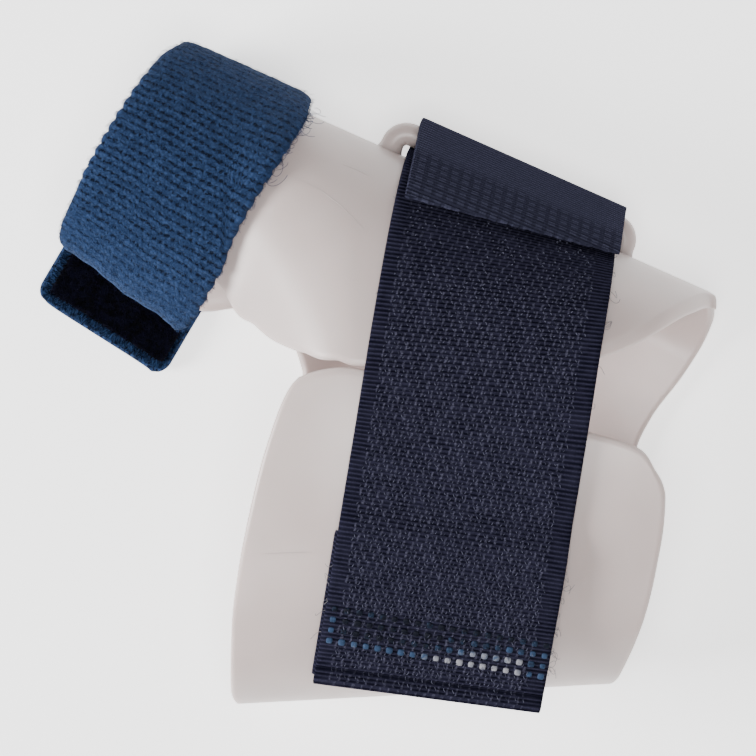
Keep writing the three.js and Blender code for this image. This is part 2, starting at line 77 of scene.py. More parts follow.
# Sizes that part.mjs gives, repeated because this script can't read that file
LENGTH = 100.0
BREADTH = 100.0
DEPTH = 42.0
WALL = 2.0
THUMB_ANGLE = math.radians(23.9)
FOLD_ANGLE = math.radians(3.1)
CREST_LEVEL = 12.5
FOLD_LEVEL = 13.0
UNDER_RADIUS = 12.0
GUTTER_WIDTH = 19.5
GUTTER_FAR_WIDTH = 26.0
GUTTER_TOP = 29.0
GUTTER_CREST_LEVEL = 16.5
LEFT_FALL = 4.0
BAR_RADIUS = 1.9
STRAP_ROOM = 0.7
TAPE_WIDTH = 37.0
TAPE_THICKNESS = 1.3
TAPE_LENGTH = 79.5
TAPE_START = 7.7
TAPE_LEAN = math.radians(9.4)
TAPE_END_LEAN = math.radians(7.8)
TAPE_SETTLE = 9.0
FLAP_REACH = 8.3
FLAP_LEAN = math.radians(16)
HEM_LENGTH = 23.0
HEM_RAMP = 7.0
TAPE_LIFT = math.radians(25)
BAND_WIDTH = 24.6
BAND_THICKNESS = 2.75
BAND_START = -36.2
BAND_FRONT = 38.0
BAND_FRONT_SKEW = 5.2
BAND_BACK = 46.8
BAND_BACK_SKEW = 3.6
BAND_SHEAR = 0.115
BAND_LIFT = math.radians(25)
TAB_LENGTH = 10.5
TAB_THICKNESS = 1.6
PATCH_THICKNESS = 0.9
GAP = 0.3

# Weave of the tape: distance between two ribs, and between two columns of hooks
TAPE_RIB = 0.74
HOOK_COLUMN = 1.47

# Places as shares: the crest, the fold and the hand's top of the breadth, the others of the length
CREST_SHARE = 0.432
FOLD_SHARE = -0.422
HAND_TOP_SHARE = 0.065
WEB_SHARE = -0.274
BLEND_SHARES = (-0.39, -0.17)
LIFT_SHARES = (-0.3, -0.16)
THUMB_RIM_SHARE = -0.445
FALL_SHARE = 0.2

# Edges of the two panels: way round the shell for each share of the length
SLIT_EDGE = (
    (-0.62, 1.3), (-0.51, 1.41), (-0.42, 1.49), (-0.37, 1.58), (-0.33, 1.36), (-0.274, 1.09),
    (-0.23, 0.94), (-0.19, 0.86), (-0.1, 0.86), (0.0, 0.86), (0.07, 0.845), (0.15, 0.785),
    (0.21, 0.68), (0.25, 0.6), (0.3, 0.455), (0.37, 0.17), (0.41, 0.035), (0.45, 0.02),
)
LOWER_EDGE = (
    (-0.26, 0.925), (-0.23, 0.9), (-0.19, 0.885), (-0.1, 0.915), (-0.02, 0.975), (0.07, 1.03),
    (0.15, 1.08), (0.22, 1.125), (0.26, 1.15), (0.29, 1.18), (0.31, 1.23),
)

# Edge of the gutter's back wall: share of the breadth from the crest to it, for each share of the length
GUTTER_BACK_EDGE = (
    (-0.6, 0.405), (-0.44, 0.405), (-0.37, 0.373), (-0.32, 0.362), (-0.274, 0.39), (0.1, 0.39),
)

# Outlines at the wrist and the fingers: share of the length for each share of the breadth. The wrist's tip is
# rounder here than in part.mjs
WRIST_RIM = (
    (-0.42, 0.249), (-0.26, 0.262), (-0.13, 0.279), (-0.018, 0.297), (0.039, 0.324),
    (0.112, 0.379), (0.18, 0.418), (0.208, 0.426), (0.224, 0.424), (0.236, 0.413), (0.246, 0.395),
)
LOWER_WRIST_RIM = (
    (-0.403, 0.244), (-0.393, 0.257), (-0.375, 0.266), (-0.284, 0.299), (-0.208, 0.315),
    (-0.122, 0.327), (-0.09, 0.328), (-0.069, 0.323), (-0.05, 0.312), (-0.035, 0.3),
)
LOWER_FINGER_RIM = (
    (-0.442, -0.352), (-0.436, -0.366), (-0.415, -0.375), (-0.304, -0.371), (-0.22, -0.3605),
    (-0.061, -0.327), (0.01, -0.306), (0.066, -0.285), (0.093, -0.269), (0.106, -0.254),
)
BACK_FINGER_RIM = (
    (-0.442, -0.352), (-0.26, -0.335), (-0.1, -0.3), (0.03, -0.268), (0.106, -0.257),
    (0.1295, -0.262), (0.158, -0.274),
)

# Camera and the picture's scale: straight down, with a picture 756 pixels wide
PIXEL_MM = 0.165
PICTURE_PIXELS = 756
SCALE_LEVEL = 25.0
CAMERA_LEVEL = 1000.0
CAMERA_PLACE = (-13.53, 10.23)

Rows = tuple[tuple[float, float], ...]
Number = float | np.ndarray
Curve = Callable[[np.ndarray], np.ndarray]
Surface = Callable[[np.ndarray, np.ndarray], np.ndarray]
Socket = bpy.types.NodeSocket
Colour = tuple[float, float, float]


# Plain geometry


def curve_through(rows: Rows) -> Curve:
    """Make a smooth curve through a table, flat wherever its values turn.

    It is a cubic between two rows. Its slope at a row is the harmonic mean of the slopes on both sides.

    Args:
        rows: Pairs of place and value, with rising places.

    Returns:
        A function from places to values that keeps the end values past the ends.
    """
    xs, ys = np.array(rows, dtype=float).T
    slopes = np.diff(ys) / np.diff(xs)
    product = slopes[:-1] * slopes[1:]
    total = slopes[:-1] + slopes[1:]
    inner = np.where(product > 0, 2 * product / np.where(total == 0, 1, total), 0.0)
    tangents = np.concatenate([slopes[:1], inner, slopes[-1:]])

    def curve(x: np.ndarray) -> np.ndarray:
        """Return the curve's value at each place."""
        x = np.clip(np.asarray(x, dtype=float), xs[0], xs[-1])
        i = np.clip(np.searchsorted(xs, x, side="right") - 1, 0, len(xs) - 2)
        h = xs[i + 1] - xs[i]
        t = (x - xs[i]) / h
        s = 1 - t
        return (
            ys[i] * s * s * (1 + 2 * t)
            + ys[i + 1] * t * t * (1 + 2 * s)
            + h * t * s * (tangents[i] * s - tangents[i + 1] * t)
        )

    return curve


def mix(a: Number, b: Number, t: Number) -> Number:
    """Blend from a to b by share t."""
    return a + (b - a) * t


def smooth(x: Number, start: float, end: float) -> Number:
    """Rise softly from 0 at start to 1 at end."""
    t = np.clip((np.asarray(x, dtype=float) - start) / (end - start), 0, 1)
    return t * t * (3 - 2 * t)


def bell(x: Number, middle: float, width: float) -> Number:
    """Return a bell curve, 1 at its middle."""
    return np.exp(-(((x - middle) / width) ** 2))


def outline(rows: Rows) -> Curve:
    """Make a curve from y to x in millimetres through a table of shares of the breadth and the length."""
    curve = curve_through(rows)
    return lambda y: curve(y / BREADTH) * LENGTH


def unit(vectors: np.ndarray) -> np.ndarray:
    """Scale vectors to length 1."""
    length = np.linalg.norm(vectors, axis=-1, keepdims=True)
    return vectors / np.maximum(length, 1e-9)


def grid_quads(rows: int, columns: int, first: int = 0) -> np.ndarray:
    """List the quads of a grid whose points are numbered row by row.

    Args:
        rows: Number of rows of points.
        columns: Number of points in a row.
        first: Number of the first point.

    Returns:
        An array of four point numbers for each quad.
    """
    r, c = np.meshgrid(np.arange(rows - 1), np.arange(columns - 1), indexing="ij")
    corner = (r * columns + c).ravel() + first
    return np.stack([corner, corner + 1, corner + columns + 1, corner + columns], axis=1)


RIM_STEPS = 4


@dataclass
class Form:
    """Points in millimetres, faces and the tape coordinates of each point."""

    points: np.ndarray
    faces: np.ndarray
    run: np.ndarray | None = None


def surface_normals(points: np.ndarray, quads: np.ndarray) -> tuple[np.ndarray, np.ndarray]:
    """Work out the normals of a surface made of quads.

    Args:
        points: The points.
        quads: Four point numbers for each quad.

    Returns:
        The unit normal at each point and at each quad.
    """
    a, b, c, d = (points[quads[:, k]] for k in range(4))
    face = np.cross(c - a, d - b)
    normals = np.zeros_like(points)
    for corner in range(4):
        np.add.at(normals, quads[:, corner], face)
    return unit(normals), unit(face)


def wall(
    points: np.ndarray,
    quads: np.ndarray,
    outer: Number,
    inner: Number,
    rim: float,
    run: np.ndarray | None = None,
    lip: Number = 0.0,
) -> Form:
    """Build a closed wall on both sides of a mid-surface, with a rounded rim.

    Each layer is the mid-surface moved along its normals. The rim is a half ellipse in four steps.

    Args:
        points: Points of the mid-surface.
        quads: Its quads.
        outer: Thickness on the side that the normals point to, one value or one for each point.
        inner: Thickness on the other side.
        rim: How far the rounded rim stands out of the mid-surface's edge.
        run: Tape coordinates of each point.
        lip: How much further the inner side reaches at the rim, one value or one for each point.

    Returns:
        The wall.
    """
    count = len(points)
    normals, faces = surface_normals(points, quads)
    outer = np.broadcast_to(np.asarray(outer, dtype=float), (count,))
    inner = np.broadcast_to(np.asarray(inner, dtype=float), (count,))
    pairs = np.concatenate([quads[:, [k, (k + 1) % 4]] for k in range(4)])
    owner = np.tile(np.arange(len(quads)), 4)
    keys = pairs[:, 0] * count + pairs[:, 1]
    open_edge = ~np.isin(keys, pairs[:, 1] * count + pairs[:, 0])
    edges, owner = pairs[open_edge], owner[open_edge]
    side = np.cross(points[edges[:, 1]] - points[edges[:, 0]], faces[owner])
    out = np.zeros_like(points)
    np.add.at(out, edges[:, 0], side)
    np.add.at(out, edges[:, 1], side)
    border = np.unique(edges)
    place = np.zeros(count, dtype=int)
    place[border] = np.arange(len(border))
    out = unit(out[border])
    lip = np.broadcast_to(np.asarray(lip, dtype=float), (count,))[border]
    rings = [border]
    layers = [points + normals * outer[:, None], points - normals * inner[:, None]]
    layers[1][border] += out * lip[:, None]
    angles = np.linspace(QUARTER, -QUARTER, RIM_STEPS + 2)[1:-1]
    for k, angle in enumerate(angles):
        reach = outer[border] if angle > 0 else inner[border]
        layers.append(
            points[border]
            + normals[border] * (reach * math.sin(angle))[:, None]
            + out * (rim * math.cos(angle) + lip * (1 - math.sin(angle)) / 2)[:, None]
        )
        rings.append(2 * count + k * len(border) + np.arange(len(border)))
    rings.append(border + count)
    polygons = [quads, quads[:, ::-1] + count]
    for upper, lower in zip(rings[:-1], rings[1:]):
        a, b = place[edges[:, 0]], place[edges[:, 1]]
        polygons.append(np.stack([upper[b], upper[a], lower[a], lower[b]], axis=1))
    tape = None
    if run is not None:
        tape = np.concatenate([run, run] + [run[border]] * len(angles))
    return Form(np.concatenate(layers), np.concatenate(polygons), tape)


def tubes(paths: np.ndarray, radius: Number, sides: int) -> Form:
    """Sweep a round section along many paths at once.

    Args:
        paths: Array of path, step and coordinate.
        radius: One radius, or one for each path and step.
        sides: Number of sides of the section.

    Returns:
        Tubes with open ends.
    """
    count, steps, _ = paths.shape
    tangents = unit(np.gradient(paths, axis=1))
    guide = np.where(np.abs(tangents[..., 2:3]) > 0.9, [[[1.0, 0, 0]]], [[[0, 0, 1.0]]])
    across = unit(np.cross(tangents, guide))
    third = np.cross(across, tangents)
    turn = np.arange(sides) * TURN / sides
    radius = np.broadcast_to(np.asarray(radius, dtype=float), (count, steps))[..., None, None]
    ring = across[:, :, None] * np.cos(turn)[:, None] + third[:, :, None] * np.sin(turn)[:, None]
    points = (paths[:, :, None] + ring * radius).reshape(-1, 3)
    r, s = np.meshgrid(np.arange(steps - 1), np.arange(sides), indexing="ij")
    a = (r * sides + s).ravel()
    b = (r * sides + (s + 1) % sides).ravel()
    quads = np.stack([a, b, b + sides, a + sides], axis=1)
    first = (np.arange(count) * steps * sides)[:, None, None]
    return Form(points, (quads[None] + first).reshape(-1, 4))


def stamp(template: Form, origins: np.ndarray, axes: np.ndarray) -> Form:
    """Copy a small form to many places.

    Args:
        template: The form, round its own origin.
        origins: Place of each copy.
        axes: For each copy, the directions of the form's own three axes.

    Returns:
        All copies in one form.
    """
    points = origins[:, None] + np.einsum("pk,nkc->npc", template.points, axes)
    first = (np.arange(len(origins)) * len(template.points))[:, None, None]
    faces = (template.faces[None] + first).reshape(-1, template.faces.shape[1])
    return Form(points.reshape(-1, 3), faces)


def trace(origin: np.ndarray, axes: np.ndarray, side: Number, along: Number, out: Number) -> np.ndarray:
    """Draw paths in local axes.

    Args:
        origin: Start of each path.
        axes: For each path, its directions across, along and out of the surface.
        side: Distance across, for each path and step.
        along: Distance along.
        out: Distance out of the surface.

    Returns:
        Array of path, step and coordinate.
    """
    local = np.stack(np.broadcast_arrays(side, along, out), axis=-1)
    return origin[:, None] + np.einsum("psk,pkc->psc", local, axes)


def make_object(name: str, form: Form, material: bpy.types.Material) -> bpy.types.Object:
    """Make a smooth-shaded Blender object at the origin.

    Args:
        name: Name of the piece.
        form: Its points and faces.
        material: Its material.

    Returns:
        The object, linked to the scene.
    """
    mesh = bpy.data.meshes.new(name)
    mesh.from_pydata((form.points * MM).tolist(), [], form.faces.tolist())
    if form.run is not None:
        layer = mesh.uv_layers.new(name="run")
        corners = np.empty(len(mesh.loops), dtype=np.int32)
        mesh.loops.foreach_get("vertex_index", corners)
        layer.data.foreach_set("uv", form.run[corners].astype(np.float32).ravel())
    mesh.polygons.foreach_set("use_smooth", np.ones(len(mesh.polygons), dtype=bool))
    mesh.materials.append(material)
    mesh.update()
    piece = bpy.data.objects.new(name, mesh)
    bpy.context.scene.collection.objects.link(piece)
    LOG.info("%s: %d faces", name, len(mesh.polygons))
    return piece


def add_field(piece: bpy.types.Object, name: str, values: np.ndarray) -> None:
    """Store one number for each point of a piece, for its material to read."""
    layer = piece.data.attributes.new(name, "FLOAT", "POINT")
    layer.data.foreach_set("value", values.astype(np.float32))


# The shell's form


@dataclass
class Section:
    """Half section of the shell: crest, line of the top and far side, with their levels."""

    crest: np.ndarray
    top: np.ndarray
    far: np.ndarray
    level: np.ndarray
    crest_level: np.ndarray
    far_level: np.ndarray

    def point(self, angle: np.ndarray, x: np.ndarray) -> np.ndarray:
        """Find points of the section, which is a quarter ellipse on each side of its top.

        Args:
            angle: 0 at the crest, a quarter turn at the top and a half turn at the far side.
            x: Place along the hand.

        Returns:
            The points.
        """
        near = angle < QUARTER
        reach = np.where(near, self.crest - self.top, self.top - self.far)
        base = np.where(near, self.crest_level, self.far_level)
        y = self.top + reach * np.cos(angle)
        z = base + (self.level - base) * np.sin(angle)
        return np.stack(np.broadcast_arrays(x, y, z), axis=-1)


HALF_WALL = WALL / 2
BAR_STAND_OFF = GAP + TAPE_THICKNESS + GAP + BAR_RADIUS
slit_way = curve_through(SLIT_EDGE)
lower_way = curve_through(LOWER_EDGE)
gutter_back_drop = curve_through(GUTTER_BACK_EDGE)


def crest_at(x: Number) -> Number:
    """Outermost line of the shell on the thumb's side."""
    return CREST_SHARE * BREADTH - math.tan(THUMB_ANGLE) * x


def middle_crest_at(x: Number) -> Number:
    """The same line at the middle of the wall."""
    return crest_at(x) - HALF_WALL / math.cos(THUMB_ANGLE)


def fold_at(x: Number) -> Number:
    """Middle of the wall at the fold on the little finger's side."""
    return FOLD_SHARE * BREADTH + math.tan(FOLD_ANGLE) * x + HALF_WALL


def hand_blend(x: Number) -> Number:
    """Share of the hand's section against the gutter's."""
    return smooth(x, BLEND_SHARES[0] * LENGTH, BLEND_SHARES[1] * LENGTH)


def back_at(x: Number) -> Number:
    """Level of the middle of the back wall."""
    lift = 1 - smooth(x, LIFT_SHARES[0] * LENGTH, LIFT_SHARES[1] * LENGTH)
    return HALF_WALL + (BAND_THICKNESS + 2 * GAP) * lift


def crest_level_at(x: Number) -> Number:
    """Level of the crest line."""
    return mix(GUTTER_CREST_LEVEL, CREST_LEVEL, hand_blend(x))


def upper_section(x: np.ndarray) -> Section:
    """Work out the section of the panel on the thumb's side.

    Args:
        x: Place along the hand.

    Returns:
        The section at each place.
    """
    blend = hand_blend(x)
    crest = middle_crest_at(x)
    top = mix(crest - GUTTER_WIDTH, HAND_TOP_SHARE * BREADTH, blend)
    return Section(
        crest=crest,
        top=top,
        far=mix(top - GUTTER_FAR_WIDTH, fold_at(x), blend),
        level=mix(GUTTER_TOP, DEPTH, blend) - HALF_WALL,
        crest_level=crest_level_at(x),
        far_level=mix(GUTTER_CREST_LEVEL, FOLD_LEVEL, blend),
    )


def lower_section(x: np.ndarray) -> Section:
    """Work out the section of the panel on the little finger's side.

    Its top falls as a parabola towards the fingers.

    Args:
        x: Place along the hand.

    Returns:
        The section at each place.
    """
    fall = np.clip((BLEND_SHARES[1] * LENGTH - x) / (FALL_SHARE * LENGTH), 0, 1.2)
    return Section(
        crest=middle_crest_at(x),
        top=np.full_like(x, HAND_TOP_SHARE * BREADTH),
        far=fold_at(x),
        level=DEPTH - HALF_WALL - LEFT_FALL * fall * fall,
        crest_level=crest_level_at(x),
        far_level=np.full_like(x, FOLD_LEVEL),
    )


def way_to_angle(way: np.ndarray) -> np.ndarray:
    """Turn a way round the section, 0 at the crest, 1 at the top and 2 at the far side, into an angle."""
    return np.arccos(np.clip(1 - way, -1, 1))


def crest_under(angle: np.ndarray, x: np.ndarray) -> np.ndarray:
    """Find points under the crest.

    Args:
        angle: 0 at the crest and a quarter turn at the back wall.
        x: Place along the hand.

    Returns:
        The points.
    """
    level = crest_level_at(x)
    y = middle_crest_at(x) - UNDER_RADIUS * (1 - np.cos(angle))
    z = level - (level - back_at(x)) * np.sin(angle)
    return np.stack(np.broadcast_arrays(x, y, z), axis=-1)


def fold_under(angle: np.ndarray, x: np.ndarray) -> np.ndarray:
    """Find points under the fold.

    Args:
        angle: 0 at the fold and a quarter turn at the back wall.
        x: Place along the hand.

    Returns:
        The points.
    """
    y = fold_at(x) + UNDER_RADIUS * (1 - np.cos(angle))
    z = FOLD_LEVEL - (FOLD_LEVEL - back_at(x)) * np.sin(angle)
    return np.stack(np.broadcast_arrays(x, y, z), axis=-1)


def back_wall(start: Number, end: Number, share: np.ndarray, x: np.ndarray) -> np.ndarray:
    """Find points of the straight back wall between two lines.

    Args:
        start: Place across the hand where the wall begins, at each x.
        end: Place where it ends.
        share: How far each point is from start to end.
        x: Place along the hand.

    Returns:
        The points.
    """
    y = mix(start, end, share)
    return np.stack(np.broadcast_arrays(x, y, back_at(x)), axis=-1)


def gutter_back_edge(x: Number) -> Number:
    """Line where the gutter's back wall ends."""
    return crest_at(x) - gutter_back_drop(x / LENGTH) * BREADTH


def normal_of(surface: Surface, angle: np.ndarray, x: np.ndarray) -> np.ndarray:
    """Find the unit normals that point out of the shell, from small steps on its surface.

    Args:
        surface: The surface, as a function of an angle from the crest and a place x.
        angle: The angles.
        x: The places.

    Returns:
        The normals.
    """
    step = 0.01
    around = surface(angle + step, x) - surface(angle - step, x)
    along = surface(angle, x + step) - surface(angle, x - step)
    return unit(np.cross(around, along))


def over_shell(
    section_at: Callable[[np.ndarray], Section], x: np.ndarray, y: np.ndarray, height: Number, lift: float
) -> np.ndarray:
    """Find points over the shell, which follow it and go on straight where it falls more steeply than lift.

    Args:
        section_at: Section of the panel at a place x.
        x: Plan place along the hand.
        y: Plan place across the hand.
        height: Height over the middle of the wall.
        lift: Slope at which the points leave the shell.

    Returns:
        The points.
    """
    section = section_at(x)
    near = section.crest - section.top
    far = section.top - section.far
    drop = np.maximum(section.crest - y, 0)

    def surface(angle: np.ndarray, place: np.ndarray) -> np.ndarray:
        """Return the panel's points."""
        return section_at(place).point(angle, place)

    leaves = QUARTER + np.arctan2(far * math.tan(lift), section.level - section.far_level)
    beyond = QUARTER + np.arcsin(np.clip((drop - near) / far, 0, 1))
    angle = np.where(
        drop < near, np.arccos(np.clip(1 - drop / near, -1, 1)), np.minimum(leaves, beyond)
    )
    foot = surface(angle, x)
    points = foot + normal_of(surface, angle, x) * np.asarray(height)[..., None]
    past = np.where(angle >= leaves, np.maximum(foot[..., 1] - y, 0), 0)
    points[..., 1] -= past
    points[..., 2] -= past * math.tan(lift)
    return points


def under_shell(x: np.ndarray, y: np.ndarray, height: Number) -> np.ndarray:
    """Find points at a height under the middle of the wall, round the crest and along the back.

    Args:
        x: Plan place along the hand.
        y: Plan place across the hand.
        height: Distance from the middle of the wall.

    Returns:
        The points.
    """
    drop = np.maximum(middle_crest_at(x) - y, 0)
    angle = np.arccos(np.clip(1 - drop / UNDER_RADIUS, 0, 1))
    rounded = crest_under(angle, x) - normal_of(crest_under, angle, x) * np.asarray(height)[..., None]
    straight = np.stack(np.broadcast_arrays(x, y, back_at(x) - height), axis=-1)
    return np.where((drop >= UNDER_RADIUS)[..., None], straight, rounded)


CREST_DIRECTION = np.array([math.cos(THUMB_ANGLE), -math.sin(THUMB_ANGLE), 0.0])
CREST_SQUARE = np.array([-math.sin(THUMB_ANGLE), -math.cos(THUMB_ANGLE), 0.0])


def crest_frame(q: Number, p: Number, z: Number) -> np.ndarray:
    """Find points given in the crest's own directions.

    Args:
        q: Place along the crest.
        p: Place square to the crest in plan, towards the little finger's side.
        z: Level.

    Returns:
        The points.
    """
    q, p, z = np.broadcast_arrays(q, p, z)
    start = np.array([0.0, crest_at(0.0), 0.0])
    point = start + q[..., None] * CREST_DIRECTION + p[..., None] * CREST_SQUARE
    point[..., 2] = z
    return point


def along_crest(x: float) -> float:
    """Place along the crest of a plan place x."""
    return x / math.cos(THUMB_ANGLE)


# Materials


class Nodes:
    """Short way to build a node material round its Principled shader."""

    def __init__(self, name: str) -> None:
        """Start an empty material with a Principled shader."""
        self.material = bpy.data.materials.new(name)
        self.material.use_nodes = True
        self.tree = self.material.node_tree
        self.shader = self.tree.nodes["Principled BSDF"]

    def feed(self, socket: Socket, value: object) -> None:
        """Link a socket to an input, or set the input's value."""
        if isinstance(value, Socket):
            self.tree.links.new(value, socket)
        else:
            socket.default_value = value

    def node(self, kind: str, inputs: dict | None = None, **settings: str) -> bpy.types.Node:
        """Add a node.

        Args:
            kind: Blender's name for the kind of node.
            inputs: Value or socket for each named input.
            settings: The node's own settings.

        Returns:
            The node.
        """
        node = self.tree.nodes.new(kind)
        for key, value in settings.items():
            setattr(node, key, value)
        for key, value in (inputs or {}).items():
            self.feed(node.inputs[key], value)
        return node

    def math(self, operation: str, *values: object) -> Socket:
        """Add a Math node and return its output."""
        node = self.node("ShaderNodeMath", operation=operation)
        for socket, value in zip(node.inputs, values):
            self.feed(socket, value)
        return node.outputs[0]

    def times(self, first: object, second: object) -> Socket:
        """Multiply two values."""
        return self.math("MULTIPLY", first, second)

    def times_add(self, value: object, factor: object, added: object) -> Socket:
        """Multiply a value by a factor and add to it."""
        return self.math("MULTIPLY_ADD", value, factor, added)

    def span(
        self, value: object, low: float, high: float, to_low: float = 0.0, to_high: float = 1.0
    ) -> Socket:
        """Map a range of values softly to another.

        Args:
            value: The value to map.
            low: Where the range begins.
            high: Where it ends.
            to_low: Result at and below low.
            to_high: Result at and above high.

        Returns:
            The mapped value.
        """
        node = self.node(
            "ShaderNodeMapRange",
            {"Value": value, "From Min": low, "From Max": high, "To Min": to_low, "To Max": to_high},
            interpolation_type="SMOOTHSTEP",
        )
        return node.outputs[0]

    def choose(self, share: object, first: object, second: object) -> Socket:
        """Blend from a first number to a second by a share."""
        inputs = {"Factor": share, "A": first, "B": second}
        return self.node("ShaderNodeMix", inputs, data_type="FLOAT").outputs[0]

    def noise(self, vector: Socket, scale: float, detail: float = 3.0, rough: float = 0.55) -> Socket:
        """Add a noise texture and return its value."""
        inputs = {"Vector": vector, "Scale": scale, "Detail": detail, "Roughness": rough}
        return self.node("ShaderNodeTexNoise", inputs).outputs[0]

    def colour(self, share: object, low: Colour | Socket, high: Colour | Socket) -> Socket:
        """Mix two colours by a share."""
        node = self.node("ShaderNodeMix", data_type="RGBA")
        self.feed(node.inputs[0], share)
        for place, tone in ((6, low), (7, high)):
            self.feed(node.inputs[place], (*tone, 1.0) if isinstance(tone, tuple) else tone)
        return node.outputs[2]

    def bump(
        self, height: Socket, distance_mm: float, strength: float = 1.0, normal: Socket | None = None
    ) -> Socket:
        """Add a bump.

        Args:
            height: Height as a share of the distance.
            distance_mm: Full height of the bump.
            strength: How much it counts.
            normal: The bump below it, if any.

        Returns:
            The bumped normal.
        """
        inputs = {"Height": height, "Distance": distance_mm * MM, "Strength": strength}
        if normal is not None:
            inputs["Normal"] = normal
        return self.node("ShaderNodeBump", inputs).outputs[0]

    def place(self) -> Socket:
        """Return the object coordinates in metres."""
        return self.node("ShaderNodeTexCoord").outputs["Object"]

    def run(self) -> tuple[Socket, Socket, Socket]:
        """Return the coordinates across and along a tape, in millimetres, and both together."""
        vector = self.node("ShaderNodeUVMap", uv_map="run").outputs[0]
        parts = self.node("ShaderNodeSeparateXYZ", {"Vector": vector})
        return parts.outputs[0], parts.outputs[1], vector

    def field(self, name: str) -> Socket:
        """Return a number stored on the points."""
        return self.node("ShaderNodeAttribute", attribute_name=name).outputs["Fac"]

    def wave(self, value: Socket, pitch: float) -> Socket:
        """Return a wave between 0 and 1 that repeats each pitch."""
        phase = self.times(value, TURN / pitch)
        return self.times_add(self.math("SINE", phase), 0.5, 0.5)

    def finish(self, **inputs: object) -> bpy.types.Material:
        """Set the shader's inputs, named with underscores for spaces, and return the material."""
        for key, value in inputs.items():
            self.feed(self.shader.inputs[key.replace("_", " ")], value)
        return self.material


@dataclass(frozen=True)
class PlasticFinish:
    """Milky polyethylene: two close tones in soft clouds, and light that scatters under the surface."""

    pale: Colour = (0.56, 0.475, 0.455)
    deep: Colour = (0.49, 0.41, 0.39)
    roughness: float = 0.36
    streaks: float = 0.16
    scatter: float = 0.35
    scatter_mm: float = 3.0
    cloud_scale: float = 28.0
    flow_scale: float = 140.0
    grain_scale: float = 900.0

    def material(self) -> bpy.types.Material:
        """Build the material."""
        n = Nodes("polyethylene")
        place = n.place()
        cloud = n.noise(place, self.cloud_scale, 3.0)
        grain = n.noise(place, self.grain_scale, 2.0)
        flow = n.noise(place, self.flow_scale, 4.0, 0.6)
        normal = n.bump(flow, 0.05, 0.5)
        return n.finish(
            Base_Color=n.colour(n.span(cloud, 0.3, 0.7), self.pale, self.deep),
            Roughness=n.times_add(flow, self.streaks, self.roughness - self.streaks / 2),
            Normal=n.bump(grain, 0.02, 0.35, normal),
            IOR=1.5,
            Subsurface_Weight=self.scatter,
            Subsurface_Radius=(1.0, 0.85, 0.78),
            Subsurface_Scale=self.scatter_mm * MM,
        )


